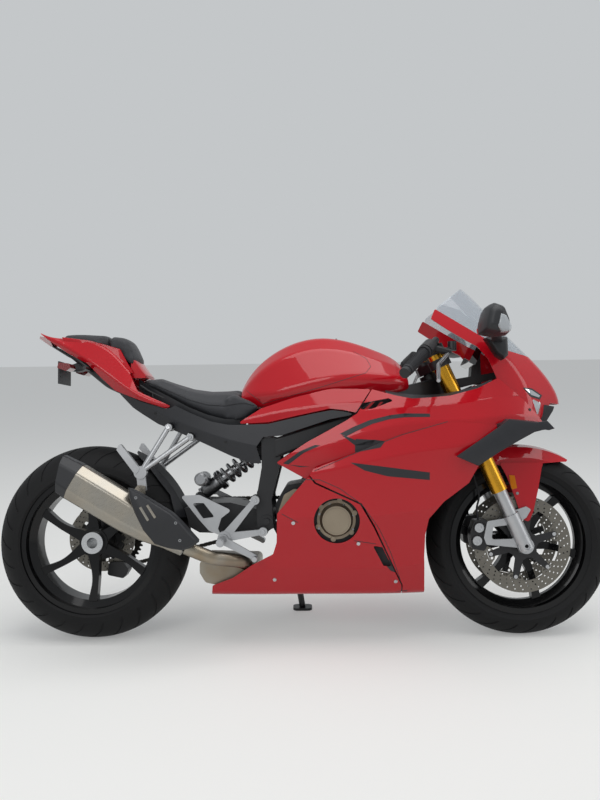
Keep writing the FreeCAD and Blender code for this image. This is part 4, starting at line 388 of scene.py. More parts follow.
# bare bent pipe: browned by heat
header_steel = exhaust_steel("heat_tinted_pipe_steel", "#9A958A", "#938673", "#776858", 0.0,
                             (0.28, 0.44))
print("exhaust steels", canister_steel.name, header_steel.name)

# %% [markdown]
# The seat cover is a coated cloth with a fine leather-like grain of about a millimetre and a
# half: raised cells with creases between them.  The creases are painted darker than the cell
# tops, a painted shade.

# %% Seat cover
CELL_MM = 1.4
seat_cloth, tree = new_material("grained_seat_cover")
cells = add(tree, "ShaderNodeTexVoronoi", {"Vector": in_mm(tree), "Scale": 1.0 / CELL_MM},
            feature="DISTANCE_TO_EDGE")
crease_relief_and_shade = add(tree, "ShaderNodeMapRange", {"Value": cells.outputs["Distance"], "From Min": 0.0,
                                          "From Max": 0.25}).outputs[0]
# coated cloth: dull, with a faint sheen on its swell; its creases are painted darker, a painted
# shade
surfaced(seat_cloth, crease_relief_and_shade, ("#1D1E21", "#2F3035"), crease_relief_and_shade, 0.62, (0.12, 0.7),
         {"Sheen Weight": 0.15, "Sheen Roughness": 0.4})
print("seat cover", seat_cloth.name)

# %% [markdown]
# Clear parts.  The screen is clear polycarbonate with a faint smoke tint, so most light
# passes and the edges look darker.  Lamp lenses are the same plastic, clearer, and the rear
# lens is dyed red.

# %% Clear parts


def clear_plastic(name, tint, roughness, alpha):
    """Thin clear plastic: mostly see-through, with the gloss of its surface."""
    material, _ = new_material(name)
    return closed(material, {
        "Base Color": linear(tint), "Roughness": roughness, "IOR": 1.58, "Alpha": alpha,
        "Coat Weight": 1.0, "Coat Roughness": 0.02})


# bent polycarbonate sheet: a pale veil with sharp glints
screen_plastic = clear_plastic("clear_polycarbonate", "#B9C3CC", 0.04, 0.34)
# moulded polycarbonate: a clear cover over the lamp
lens_plastic = clear_plastic("lens_polycarbonate", "#E3E8EC", 0.05, 0.55)
# dyed acrylic: a deep red that lets little through
red_lens = clear_plastic("red_lens_acrylic", "#7A0B10", 0.10, 0.92)
# glass over a display that is off: black and glossy
display_glass = clear_plastic("display_glass", "#07080A", 0.05, 1.0)
print("clear parts", screen_plastic.name, lens_plastic.name, red_lens.name)

# %% [markdown]
# Every solid now gets its finish.  One table holds them, so a part's look can be changed in
# one place.

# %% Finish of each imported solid
FINISH = (
    (tyre_rubber, "front_tyre rear_tyre"),
    (black_lacquer, "front_rim rear_rim"),
    (zinc_steel, "front_brake_discs rear_brake_disc rear_shock"),
    (dark_steel, "rear_sprocket drive_chain"),
    (turned_aluminium, "wheel_spindle front_axle"),
    (gold_anodised, "fork_outer_tubes"),
    (blasted_aluminium, "fork_lower_legs footrest_brackets footrests passenger_brackets"),
    (powder_coat, "fork_yokes front_brake_calipers handlebars hand_levers main_frame rear_frame "
                  "engine_block radiator swingarm rear_brake_caliper nose_stay side_stand "
                  "fuel_cap"),
    (rubber_moulding, "hand_grips brake_hoses"),
    (bronze_coat, "engine_covers"),
    (header_steel, "exhaust_pipes"),
    (canister_steel, "exhaust_canister"),
    (grained_abs, "canister_cap heat_shield rear_hugger tail_floor nose_intake mirrors "
                  "cockpit_panels"),
    (slate_abs, "side_covers winglets"),
    (seat_cloth, "rider_seat tail_pads"),
    (red_lacquer, "front_fender tail_cowl upper_cowl side_fairings lower_fairings "
                  "upper_fairings fuel_tank"),
    (red_lens, "rear_lamps"),
    (screen_plastic, "windscreen"),
    (lens_plastic, "headlights"),
    (display_glass, "instrument_display"),
)
finished = [(name, finish) for finish, names in FINISH for name in names.split()]
for name, finish in finished:
    nodes[name].material_slots[0].material = finish
print("finished", len(finished), "of", len(nodes), "solids")

# %% [markdown]
# New pieces are drawn upright in millimetres and finished by one function: it merges doubled
# points, turns the faces outwards, parks the mesh, marks the sharp edges, gives the piece its
# finish and hands it to a body.  Most are drawn on the right side and mirrored.

# %% Finishing a new piece
SHARP_RAD = math.radians(32.0)


def pour(bm, part, place=None, both_sides=False):
    """Adds a finished part to a bmesh, placed, and mirrored to the left side if asked."""
    if place is not None:
        bmesh.ops.transform(part, matrix=place, verts=part.verts[:])
    holder = bpy.data.meshes.new("holder")
    part.to_mesh(holder)
    bm.from_mesh(holder)
    if both_sides:
        bmesh.ops.scale(part, vec=(1.0, -1.0, 1.0), verts=part.verts[:])
        bmesh.ops.reverse_faces(part, faces=part.faces[:])
        part.to_mesh(holder)
        bm.from_mesh(holder)
    part.free()
    bpy.data.meshes.remove(holder)


def finish_piece(name, bm, material, body="root", stands_for=()):
    """Closes a mesh drawn upright in mm, parks it, and gives it a finish and a body."""
    bmesh.ops.remove_doubles(bm, verts=bm.verts[:], dist=0.002)
    bmesh.ops.recalc_face_normals(bm, faces=bm.faces[:])
    bmesh.ops.transform(bm, matrix=TO_PARKED, verts=bm.verts[:])
    mesh = bpy.data.meshes.new(name)
    bm.to_mesh(mesh)
    bm.free()
    mesh.polygons.foreach_set("use_smooth", [True] * len(mesh.polygons))
    mesh.set_sharp_from_angle(angle=SHARP_RAD)
    mesh.materials.append(material)
    piece = placed(name, mesh)
    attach(piece, body)
    if stands_for:
        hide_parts(*stands_for)
    print(name, len(mesh.polygons), "faces")
    return piece


def paired(name, material, *parts, body="root", stands_for=()):
    """Piece of parts drawn on the right side and mirrored to the left."""
    whole = bmesh.new()
    for part in parts:
        pour(whole, part, both_sides=True)
    return finish_piece(name, whole, material, body, stands_for)


# %% [markdown]
# Many parts of a motorcycle are plates with holes: discs, sprockets, brackets.  A plate is
# drawn flat, filled between its outlines and holes, and thickened.  `standing` then lifts
# the drawing onto the side of the bike, with its thickness towards the viewer.

# %% Flat plates


def outlined(bm, points):
    """Closed loop of edges through points."""
    verts = [bm.verts.new(point) for point in points]
    return [bm.edges.new(pair) for pair in zip(verts, verts[1:] + verts[:1])]


def of_kind(made, kind):
    """The elements of one kind among what an operator made."""
    return [item for item in made["geom"] if isinstance(item, kind)]


def flat_plate(outlines, circles, thickness):
    """Plate in the flat plane; a circle is (radius, segments, u, v)."""
    bm = bmesh.new()
    edges = []
    for outline in outlines:
        edges += outlined(bm, [(u, v, 0.0) for u, v in outline])
    for radius, segments, u, v in circles:
        ring = bmesh.ops.create_circle(bm, cap_ends=False, segments=segments, radius=radius,
                                       matrix=Matrix.Translation((u, v, 0.0)))["verts"]
        edges += list({edge for vert in ring for edge in vert.link_edges})
    filled = bmesh.ops.triangle_fill(bm, use_beauty=True, edges=edges)
    grown = bmesh.ops.extrude_face_region(bm, geom=of_kind(filled, bmesh.types.BMFace))
    bmesh.ops.translate(bm, vec=(0.0, 0.0, thickness), verts=of_kind(grown, bmesh.types.BMVert))
    bmesh.ops.recalc_face_normals(bm, faces=bm.faces[:])
    return bm


def standing(x, y, z, turn_deg=0.0):
    """Stands a flat drawing up on the right side: u forwards, v up, thickness outwards."""
    return (Matrix.Translation((x, y, z)) @ Matrix.Rotation(math.radians(90.0), 4, "X")
            @ Matrix.Rotation(math.radians(turn_deg), 4, "Z"))


def rounded(bm, width, segments=2, angle_deg=40.0):
    """Bevels the sharp edges of a closed form."""
    sharp = [e for e in bm.edges
             if len(e.link_faces) == 2 and e.calc_face_angle() > math.radians(angle_deg)]
    bmesh.ops.bevel(bm, geom=sharp, offset=width, offset_type="OFFSET", segments=segments,
                    profile=0.5, affect="EDGES", material=-1, clamp_overlap=True)
    return bm


def panel(outlines, y, thickness, bevel=0.0):
    """Flat plate that stands at one width of the bike, bevelled if asked."""
    plate = flat_plate(outlines, [], thickness)
    if bevel:
        rounded(plate, bevel)
    bmesh.ops.transform(plate, matrix=standing(0.0, y, 0.0), verts=plate.verts[:])
    return plate


def at_angle(radius, degrees):
    """Flat point at an angle round the origin."""
    return radius * math.cos(math.radians(degrees)), radius * math.sin(math.radians(degrees))


print("a flat point at 30 degrees", [round(v, 3) for v in at_angle(1.0, 30.0)])

# %% [markdown]
# Three more tools: a screw head that leaves a surface, a ring turned from its profile like on
# a lathe, and a thin tube along a line.  Softer forms are bridged through cross-sections.

# %% Heads of screws, turned rings, tubes and bridged forms
SCREW_SIDES, SOCKET_SHARE, SOCKET_WALL_SHARE = 12, 0.42, 0.04


def aimed(point, normal):
    """Place whose local Z leaves the surface."""
    turn_to = Vector(normal).to_track_quat("Z", "Y").to_matrix().to_4x4()
    return Matrix.Translation(point) @ turn_to


def screw(bm, place, radius, height, sunk=0.6):
    """Round head with a sunk socket, its foot a little under the surface."""
    made = bmesh.ops.create_cone(
        bm, cap_ends=True, cap_tris=False, segments=SCREW_SIDES, radius1=radius,
        radius2=radius * 0.88, depth=height + sunk,
        matrix=place @ Matrix.Translation((0.0, 0.0, (height - sunk) / 2)))
    outwards = (place.to_3x3() @ UPWARDS).normalized()
    caps = {face for vert in made["verts"] for face in vert.link_faces if len(face.verts) > 4}
    top = max(caps, key=lambda face: face.calc_center_median().dot(outwards))
    bmesh.ops.inset_individual(bm, faces=[top], thickness=radius * SOCKET_SHARE)
    bmesh.ops.inset_individual(bm, faces=[top], thickness=radius * SOCKET_WALL_SHARE,
                               depth=-height * 0.6)


def spun(points, centre, axis, steps):
    """Closed loop of points turned once round an axis."""
    bm = bmesh.new()
    outlined(bm, points)
    bmesh.ops.spin(bm, geom=bm.verts[:] + bm.edges[:], cent=centre, axis=axis,
                   dvec=(0.0, 0.0, 0.0), angle=2 * math.pi, steps=steps, use_merge=True,
                   use_duplicate=False)
    return bm


def turned_ring(profile, centre, axis=ACROSS, steps=32):
    """Closed profile of (along, radius) points, turned about an axis through the centre."""
    axis = axis.normalized()
    square = axis.orthogonal().normalized()
    bm = spun([centre + axis * a + square * r for a, r in profile], centre, axis, steps)
    bmesh.ops.recalc_face_normals(bm, faces=bm.faces[:])
    return bm


def tube(bm, points, radius):
    """Thin round tube through points, with few sides."""
    curve = bpy.data.curves.new("line", "CURVE")
    curve.dimensions = "3D"
    curve.bevel_depth = radius
    curve.bevel_resolution = 1
    curve.use_fill_caps = True
    spline = curve.splines.new("POLY")
    spline.points.add(len(points) - 1)
    for place, point in zip(spline.points, points):
        place.co = (*point, 1.0)
    holder = bpy.data.objects.new("line", curve)
    mesh = bpy.data.meshes.new_from_object(holder)
    bm.from_mesh(mesh)
    bpy.data.objects.remove(holder)
    bpy.data.curves.remove(curve)
    bpy.data.meshes.remove(mesh)


def lofted(loops):
    """Closed form through loops that all have the same number of points."""
    bm = bmesh.new()
    rows = [outlined(bm, loop) for loop in loops]
    for first, second in zip(rows, rows[1:]):
        bmesh.ops.bridge_loops(bm, edges=first + second)
    for row in (rows[0], rows[-1]):
        bmesh.ops.edgeloop_fill(bm, edges=row)
    bmesh.ops.recalc_face_normals(bm, faces=bm.faces[:])
    return bm


def stacked(outline, middle, rows):
    """Form through an outline shrunk about its middle, a loop for each (y, factor)."""
    u, v = middle
    return lofted([[(u + (x - u) * factor, y, v + (z - v) * factor) for x, z in outline]
                   for y, factor in rows])


print("a screw head has", SCREW_SIDES, "sides")

# %% [markdown]
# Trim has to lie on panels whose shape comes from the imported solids.  A search tree of those
# solids, brought back upright, answers where a line of sight from the side meets the skin.

# %% Finding the skin of a panel
FAR_OUT = 600.0


def upright_copy(*meshes):
    """Merged copy of some meshes, upright, in millimetres."""
    bm = bmesh.new()
    for mesh in meshes:
        bm.from_mesh(mesh)
    bmesh.ops.transform(bm, matrix=TO_UPRIGHT, verts=bm.verts[:])
    bmesh.ops.remove_doubles(bm, verts=bm.verts[:], dist=0.01)
    bm.normal_update()
    return bm


def skin_of(*names):
    """Search tree of some solids."""
    bm = upright_copy(*[nodes[name].data for name in names])
    tree = BVHTree.FromBMesh(bm)
    bm.free()
    return tree


def on_skin(skin, x, z, side=-1):
    """Outermost point of the skin at (x, z) and its normal, or None off the panel."""
    hit, normal, _, _ = skin.ray_cast(Vector((x, side * FAR_OUT, z)), ACROSS * -side)
    return None if hit is None else (hit, normal)


def stepped(line, step=9.0):
    """Points along a polyline, no farther apart than a step."""
    points = []
    for (x0, z0), (x1, z1) in zip(line, line[1:]):
        count = max(1, math.ceil(math.hypot(x1 - x0, z1 - z0) / step))
        points += [(x0 + (x1 - x0) * i / count, z0 + (z1 - z0) * i / count)
                   for i in range(count)]
    return points + [line[-1]]


def cords(skin, rows):
    """Thin tubes on both sides along lines on the skin; a row is (line, radius, lift)."""
    bm = bmesh.new()
    for line, radius, lift in rows:
        for side in SIDES:
            found = [on_skin(skin, x, z, side) for x, z in stepped(line)]
            run = [hit + normal * lift for hit, normal in filter(None, found)]
            if len(run) > 2:
                tube(bm, run, radius)
    return bm


panel_skin = skin_of("side_fairings", "upper_fairings", "lower_fairings", "upper_cowl",
                     "fuel_tank")
print("skin at the fairing's middle", on_skin(panel_skin, 150.0, 500.0)[0])

# %% [markdown]
# A front brake disc is a steel ring drilled in curved rows, so that it sheds water and dust.
# It floats on a black star carrier and is held by small bobbins.  Ring and star are plates
# with holes, drawn once and mirrored to the far side of the wheel.

# %% Brake discs
DISC_ARMS, DISC_MM, DISC_TURN_DEG = 6, 4.5, 17.0
FRONT_DISC_Y, REAR_DISC_Y = 68.0, 66.0
ARM_DEG = 360.0 / DISC_ARMS


def drilled_ring(outer, inner, lug, rows, holes_per_row, hole):
    """Steel ring with slanted rows of holes, built from equal sectors, and its lugs."""
    bm = bmesh.new()
    sector = 360.0 / holes_per_row
    shares = (-0.5, -0.25, 0.0, 0.25, 0.5)
    border = [at_angle(outer, sector * s) for s in shares]
    border += [at_angle(inner, sector * s) for s in reversed(shares)]
    drills = [(hole, 6) + at_angle(radius, (row - 1) * 0.26 * sector)
              for row, radius in enumerate(rows)]
    for i in range(holes_per_row):
        pour(bm, flat_plate([border], drills, DISC_MM),
             Matrix.Rotation(math.radians(i * sector), 4, "Z"))
    bmesh.ops.remove_doubles(bm, verts=bm.verts[:], dist=0.01)
    seams = []
    for face in bm.faces:
        middle = face.calc_center_median()
        around = Vector((-middle.y, middle.x, 0.0)).normalized()
        if (len(face.verts) == 4 and abs(around.dot(face.normal)) > 0.999
                and face.calc_area() > 0.8 * DISC_MM * (outer - inner)):
            seams.append(face)
    bmesh.ops.delete(bm, geom=seams, context="FACES_ONLY")
    petal = [at_angle(inner + 2.0, -15.0), at_angle(inner + 2.0, 15.0), at_angle(lug + 8.0, 11.0),
             at_angle(lug, 5.0), at_angle(lug, -5.0), at_angle(lug + 8.0, -11.0)]
    holes = [(0.04 * inner, 10) + at_angle(lug + 0.6 * (inner - lug), a) for a in (-7.5, 7.5)]
    for i in range(DISC_ARMS):
        pour(bm, flat_plate([petal], holes, DISC_MM - 0.6),
             Matrix.Rotation(math.radians(i * ARM_DEG), 4, "Z"))
    return bm


def star_carrier(waist, reach, bore):
    """Carrier with one slender tapering arm to each lug."""
    arm = ((waist, -30.0), (waist + 6.0, -14.0), (reach - 8.0, -5.0), (reach, -3.6),
           (reach, 3.6), (reach - 8.0, 5.0), (waist + 6.0, 14.0))
    outline = [at_angle(radius, i * ARM_DEG + offset)
               for i in range(DISC_ARMS) for radius, offset in arm]
    return flat_plate([outline], [(bore, 40, 0.0, 0.0)], DISC_MM + 3.0)


def disc(word, axle, y, turn_deg, ring, star, both_sides):
    """Ring and star of one wheel's discs."""
    body, ends = word + "_wheel", "s" if both_sides else ""
    for kind, part, half, material in (
            ("ring", drilled_ring(**ring), DISC_MM / 2, disc_steel),
            ("carrier", star_carrier(**star), 3.5, powder_coat)):
        bm = bmesh.new()
        pour(bm, part, standing(axle.x, y + half, axle.z, turn_deg), both_sides)
        stands_for = (word + "_brake_disc" + ends,) if kind == "ring" else ()
        finish_piece(word + "_disc_" + kind + ends, bm, material, body, stands_for)


disc("front", FRONT_AXLE, -FRONT_DISC_Y, DISC_TURN_DEG,
     ring=dict(outer=155.0, inner=117.0, lug=94.0, rows=(124.0, 135.0, 146.0),
               holes_per_row=36, hole=3.0),
     star=dict(waist=46.0, reach=113.0, bore=24.0), both_sides=True)
bobbins = bmesh.new()
for i in range(DISC_ARMS):
    u, v = at_angle(107.0, DISC_TURN_DEG + ARM_DEG * i)
    for side in SIDES:
        place = FRONT_AXLE + Vector((u, side * (FRONT_DISC_Y + 4.0), v))
        screw(bobbins, aimed(place, ACROSS * side), radius=7.0, height=1.6)
finish_piece("front_disc_bobbins", bobbins, turned_aluminium, "front_wheel")
disc("rear", REAR_AXLE, REAR_DISC_Y, 0.0,
     ring=dict(outer=112.0, inner=80.0, lug=62.0, rows=(87.0, 96.0, 105.0),
               holes_per_row=30, hole=2.8),
     star=dict(waist=54.0, reach=80.0, bore=44.0), both_sides=False)

# %% [markdown]
# A road tyre has a round crown and slanted grooves that leave its middle smooth.  The round
# profile is spun into a ring whose columns are alternately narrow and wide.  A skew turns
# each column into a slanted line, and the narrow ones are pressed inwards as grooves.

# %% Tyres with tread
GROOVES, COLUMNS_PER_GROOVE, GROOVE_SHARE = 26, 5, 0.13
COLUMNS = GROOVES * COLUMNS_PER_GROOVE
CELL = 2 * math.pi / COLUMNS
CROWN_DEG = (0, 5, 11, 17, 23, 29, 35, 41, 47, 53, 59, 65, 70, 75)


def polar(offset):
    """Radius of a point about the axle, and its angle in columns."""
    turned = math.atan2(offset.z, offset.x) % (2 * math.pi)
    return math.hypot(offset.x, offset.z), turned / CELL


def tyre(name, axle, outer, crown, bead, body, node):
    """Round tyre with slanted grooves on both shoulders."""
    centre = outer - crown
    half = [(crown * math.sin(math.radians(a)), centre + crown * math.cos(math.radians(a)))
            for a in CROWN_DEG]
    half += [(crown * 0.962, centre + 0.14 * crown), (crown * 0.975, centre + 0.10 * crown),
             (crown * 0.93, centre + 0.02 * crown), (bead + 3.0, 229.0), (bead + 1.6, 223.5),
             (bead, 222.0), (bead, 217.2)]
    inner = [(bead - 6.0, 217.2), (bead - 4.0, 228.0), (crown * 0.85, centre + 0.2 * crown),
             (crown * 0.5, outer - 0.30 * crown)]
    profile = half + inner + [(-a, r) for a, r in reversed(half[1:] + inner)]
    bm = spun([(axle.x + r, a, axle.z) for a, r in profile], axle, ACROSS, COLUMNS)
    pressed = []
    for face in bm.faces:
        middle = face.calc_center_median() - axle
        radius, column = polar(middle)
        shifted = int(column) + (0 if middle.y < 0 else 2)
        if (radius > centre + 0.35 * crown and 0.30 < abs(middle.y) / crown < 0.93
                and shifted % COLUMNS_PER_GROOVE == 0):
            pressed.append(face)
    for vert in bm.verts:
        offset = vert.co - axle
        radius, column = polar(offset)
        index = round(column)
        slant = 0.30 * min(1.0, abs(offset.y) / crown) ** 1.4
        wide = (1.0 - GROOVE_SHARE) / (COLUMNS_PER_GROOVE - 1) * COLUMNS_PER_GROOVE
        part = (index + (0 if offset.y < 0 else 2)) % COLUMNS_PER_GROOVE
        ease = min(1.0, abs(offset.y) / (0.3 * crown)) if radius > centre else 0.0
        narrow = (GROOVE_SHARE * COLUMNS_PER_GROOVE - 1.0) + (part - 1) * (wide - 1.0)
        angle = CELL * (index + (narrow * ease if part else 0.0)) + slant
        vert.co = axle + Vector((radius * math.cos(angle), offset.y, radius * math.sin(angle)))
    bmesh.ops.recalc_face_normals(bm, faces=bm.faces[:])
    bmesh.ops.inset_region(bm, faces=pressed, thickness=0.5, depth=-2.0,
                           use_even_offset=True, use_boundary=True)
    finish_piece(name, bm, tyre_rubber, body, (node,))


tyre("front_tyre_tread", FRONT_AXLE, outer=300.0, crown=60.0, bead=46.0,
     body="front_wheel", node="front_tyre")
tyre("rear_tyre_tread", REAR_AXLE, outer=315.0, crown=90.0, bead=72.0,
     body="rear_wheel", node="rear_tyre")

# %% [markdown]
# The fairing carries dark bands of cut film.  Real film is a tenth of a millimetre thick and
# follows the panel exactly, so each band is cut from a copy of the panel's own skin with
# planes, and then thickened outwards by half a millimetre.

# %% Dark bands on the fairing
FILM_MM, FILM_SUNK_MM = 0.5, 0.3


def film(bm, node, outline, side, thickness):
    """Adds film on the node's outer skin inside a convex outline of (x, z) corners."""
    part = upright_copy(nodes[node].data)
    inner = [f for f in part.faces
             if f.normal.y * side < 0.12 or f.calc_center_median().y * side < 30.0]
    bmesh.ops.delete(part, geom=inner, context="FACES")
    mid = Vector((sum(x for x, _ in outline), 0.0, sum(z for _, z in outline))) / len(outline)
    for (x0, z0), (x1, z1) in zip(outline, outline[1:] + outline[:1]):
        outwards = Vector((z1 - z0, 0.0, x0 - x1)).normalized()
        start = Vector((x0, 0.0, z0))
        if outwards.dot(mid - start) > 0:
            outwards.negate()
        bmesh.ops.bisect_plane(part, geom=part.verts[:] + part.edges[:] + part.faces[:],
                               dist=0.0001, plane_co=start, plane_no=outwards,
                               clear_outer=True)
    if part.faces:
        bmesh.ops.translate(part, vec=(0.0, -side * FILM_SUNK_MM, 0.0), verts=part.verts[:])
        grown = bmesh.ops.extrude_face_region(part, geom=part.faces[:])
        bmesh.ops.translate(part, vec=(0.0, side * (FILM_SUNK_MM + thickness), 0.0),
                            verts=of_kind(grown, bmesh.types.BMVert))
    pour(bm, part)


def filmed(name, names, outlines, material, body="root", thickness=FILM_MM):
    """Piece of film on both sides of some solids."""
    bm = bmesh.new()
    for outline in outlines:
        for side in SIDES:
            for node in names:
                film(bm, node, outline, side, thickness)
    finish_piece(name, bm, material, body)


def strips(upper, lower):
    """Convex four-cornered outlines between two lines with the same number of points."""
    return [[upper[i], upper[i + 1], lower[i + 1], lower[i]] for i in range(len(upper) - 1)]


HOOK_BAND = strips([(109, 662), (147, 681), (201, 703), (262, 717), (307, 722), (383, 720)],
                   [(128, 654), (162, 671), (208, 691), (262, 705), (307, 710), (383, 710)])
HOOK_BAND += [[(109, 662), (128, 654), (156, 646), (154, 626)],
              [(154, 626), (156, 646), (215, 642), (203, 627)],
              [(154, 605), (154, 628), (211, 643), (230, 619)],
              [(211, 643), (245, 638), (230, 619)]]
SIDE_BAND = strips([(48, 627), (-2, 605), (-50, 569), (16, 562)],
                   [(32, 629), (-14, 610), (-67, 573), (-14, 561)])
LONG_BAND = [[(138, 575), (378, 542), (378, 519), (250, 532)],
             [(138, 575), (250, 532), (182, 550)]]
filmed("fairing_bands", ("upper_fairings", "side_fairings"),
       HOOK_BAND + SIDE_BAND + LONG_BAND, dark_film)

# %% [markdown]
# Panels meet in narrow dark joints.  Where one fairing panel overlaps the next, the joint line
# also paints the shadow under the proud edge, a painted shadow, and the dark line along the
# pressed ridge of the tank cover's side is painted shade.  Each is a thin dark line half sunk in
# the skin, laid along points found by lines of sight.

# %% Joints, a painted shadow and painted shade along the tank ridge
JOINT_AND_SHADOW_MM, RIDGE_SHADE_MM, SUNK_SHARE = 1.1, 0.9, 0.25
JOINT_AND_SHADOW_LINES = (
    ((5, 524), (46, 523), (106, 496), (173, 447), (225, 371), (261, 296), (300, 188)),
    ((-72, 419), (-22, 392)),
    ((149, 334), (216, 323)),
    # joint where one fairing panel overlaps the next; its dark line is also a painted shadow
    # under the proud edge
    ((29, 550), (134, 595), (296, 657), (435, 695)),
)
# dark line along the pressed ridge of the tank cover's side: painted shade
TANK_RIDGE_SHADE_LINES = (
    ((-132, 762), (-45, 783), (83, 818), (195, 852), (213, 874), (200, 902), (160, 926)),
    ((-187, 806), (-133, 762)),
)
lines = [(line, radius, -SUNK_SHARE * radius)
         for some, radius in ((JOINT_AND_SHADOW_LINES, JOINT_AND_SHADOW_MM), (TANK_RIDGE_SHADE_LINES, RIDGE_SHADE_MM)) for line in some]
# one dark piece: the joints, the painted shadow at the overlap and the painted shade along the
# ridge
finish_piece("panel_joints_and_painted_shade", cords(panel_skin, lines), grained_abs)

# %% [markdown]
# Screws hold the fairing, the discs and the covers.  Their heads are small, but they tell
# the eye how big everything is.  One table gives where each is, and a line of sight puts it
# on the skin of whatever is there.

# %% Screw heads
SCREWS = (
    # name, finish, body, nodes, radius, height, sides, places (x, z)
    ("fairing_screws", turned_aluminium, "root", ("side_fairings", "lower_fairings"), 6.5, 2.4,
     SIDES, ((1, 574), (-37, 391), (162, 325), (-99, 208), (280, 199))),
    ("upper_screws", powder_coat, "root", ("upper_cowl", "upper_fairings"), 5.0, 1.8,
     SIDES, ((470, 790), (700, 730))),
    ("fender_screws", zinc_steel, "fork", ("front_fender",), 5.0, 2.0,
     SIDES, ((683, 464), (711, 404))),
    ("cover_screws", zinc_steel, "root", ("engine_covers",), 4.0, 2.2, SIDES[:1],
     tuple((95 + u, 390 + v) for u, v in [at_angle(57, 20 + 45 * i) for i in range(8)])),
    ("caliper_caps", turned_aluminium, "fork", ("front_brake_calipers",), 17.0, 4.0,
     SIDES, ((554, 357), (547, 316))),
    ("bracket_screws", turned_aluminium, "root", ("footrest_brackets",), 7.0, 4.0,
     SIDES, ((-156, 459), (-132, 361))),
    ("hanger_screws", turned_aluminium, "root", ("passenger_brackets",), 6.5, 4.0,
     SIDES, ((-431, 689), (-363, 657))),
    ("side_cover_screws", powder_coat, "root", ("side_covers",), 5.0, 1.8,
     SIDES, ((-250, 640), (-480, 735))),
)
for name, finish, body, names, radius, height, sides, places in SCREWS:
    skin = skin_of(*names)
    bm = bmesh.new()
    for x, z in places:
        for found in filter(None, [on_skin(skin, x, z, side) for side in sides]):
            screw(bm, aimed(*found), radius, height)
    finish_piece(name, bm, finish, body)

# %% [markdown]
# The rider's seat is moulded foam under a stretched cover.  Its cover was cut a little small,
# so the foam swells it tight.  Cross-sections are bridged to a plain form, and a short cloth
# simulation with air pressure inside gives the swell.  The underside rests on the seat
# base, so it may not sink there.

# %% Cross-sections of the seat
SEAT_ROWS = (
    # x, half width, underside, top at the middle, top at the edge
    (-532.0, 44.0, 838.0, 849.0, 846.0),
    (-515.0, 70.0, 823.0, 852.0, 846.0),
    (-480.0, 88.0, 806.0, 848.0, 838.0),
    (-430.0, 104.0, 780.0, 830.0, 818.0),
    (-370.0, 118.0, 748.0, 811.0, 796.0),
    (-310.0, 126.0, 722.0, 802.0, 784.0),
    (-255.0, 126.0, 708.0, 803.0, 782.0),
    (-225.0, 120.0, 706.0, 807.0, 784.0),
    (-208.0, 112.0, 709.0, 808.0, 786.0),
)
LOBE_ROWS = (
    # x, inner, outer, underside, top
    (-250.0, 60.0, 126.0, 712.0, 782.0), (-215.0, 84.0, 130.0, 706.0, 786.0),
    (-190.0, 97.0, 131.0, 712.0, 779.0), (-166.0, 108.0, 131.0, 727.0, 769.0),
    (-147.0, 117.0, 129.0, 744.0, 758.0),
)


def seat_loop(x, half, low, middle, edge):
    """Cross-section of the seat, round-shouldered and flat below."""
    rise = edge - low
    right = [(0.0, low), (0.55 * half, low), (0.86 * half, low + 1.0),
             (0.97 * half, low + 0.22 * rise), (half, low + 0.48 * rise),
             (0.94 * half, low + 0.78 * rise), (0.80 * half, edge - 0.01 * rise),
             (0.55 * half, 0.6 * edge + 0.4 * middle), (0.28 * half, 0.2 * edge + 0.8 * middle),
             (0.0, middle)]
    left = [(-y, z) for y, z in reversed(right[1:-1])]
    return [(x, y, z) for y, z in right + left]


def lobe_loop(x, inner, outer, low, high):
    """Cross-section of the lobe that reaches forwards beside the tank."""
    mid = (low + high) / 2
    return [(x, y, z) for y, z in ((inner, low), ((inner + outer) / 2, low), (outer - 3, low + 3),
                                   (outer, mid), (outer - 4, high - 4), (inner + 4, high),
                                   (inner, high - 4), (inner, mid))]


print("seat rows", len(SEAT_ROWS), "points each", len(seat_loop(*SEAT_ROWS[0])))

# %% Swelling a pad under its cover
CLOTH_FRAMES, COVER_PRESSURE, SINK_SHARE = 20, 4.0, 0.15


def baked(piece):
    """Mesh of a piece with its modifiers applied."""
    graph = bpy.context.evaluated_depsgraph_get()
    return bpy.data.meshes.new_from_object(piece.evaluated_get(graph))


def swell(piece, start, cap):
    """Moves the points to where the pressed cover takes them, no farther than a cap."""
    cloth = piece.modifiers.new("cover", "CLOTH")
    cloth.settings.use_pressure = True
    cloth.settings.uniform_pressure_force = COVER_PRESSURE
    cloth.settings.effector_weights.gravity = 0.0
    cloth.point_cache.frame_start = 1
    cloth.point_cache.frame_end = CLOTH_FRAMES
    for step in range(1, CLOTH_FRAMES + 1):
        bpy.context.scene.frame_set(step)
    swollen = baked(piece)
    piece.modifiers.clear()
    bpy.context.scene.frame_set(1)
    for still, moved in zip(start.vertices, swollen.vertices):
        shift = moved.co - still.co
        if shift.z < 0:
            shift.z *= SINK_SHARE
        if shift.length > cap:
            shift *= cap / shift.length
        still.co += shift
    bpy.data.meshes.remove(swollen)


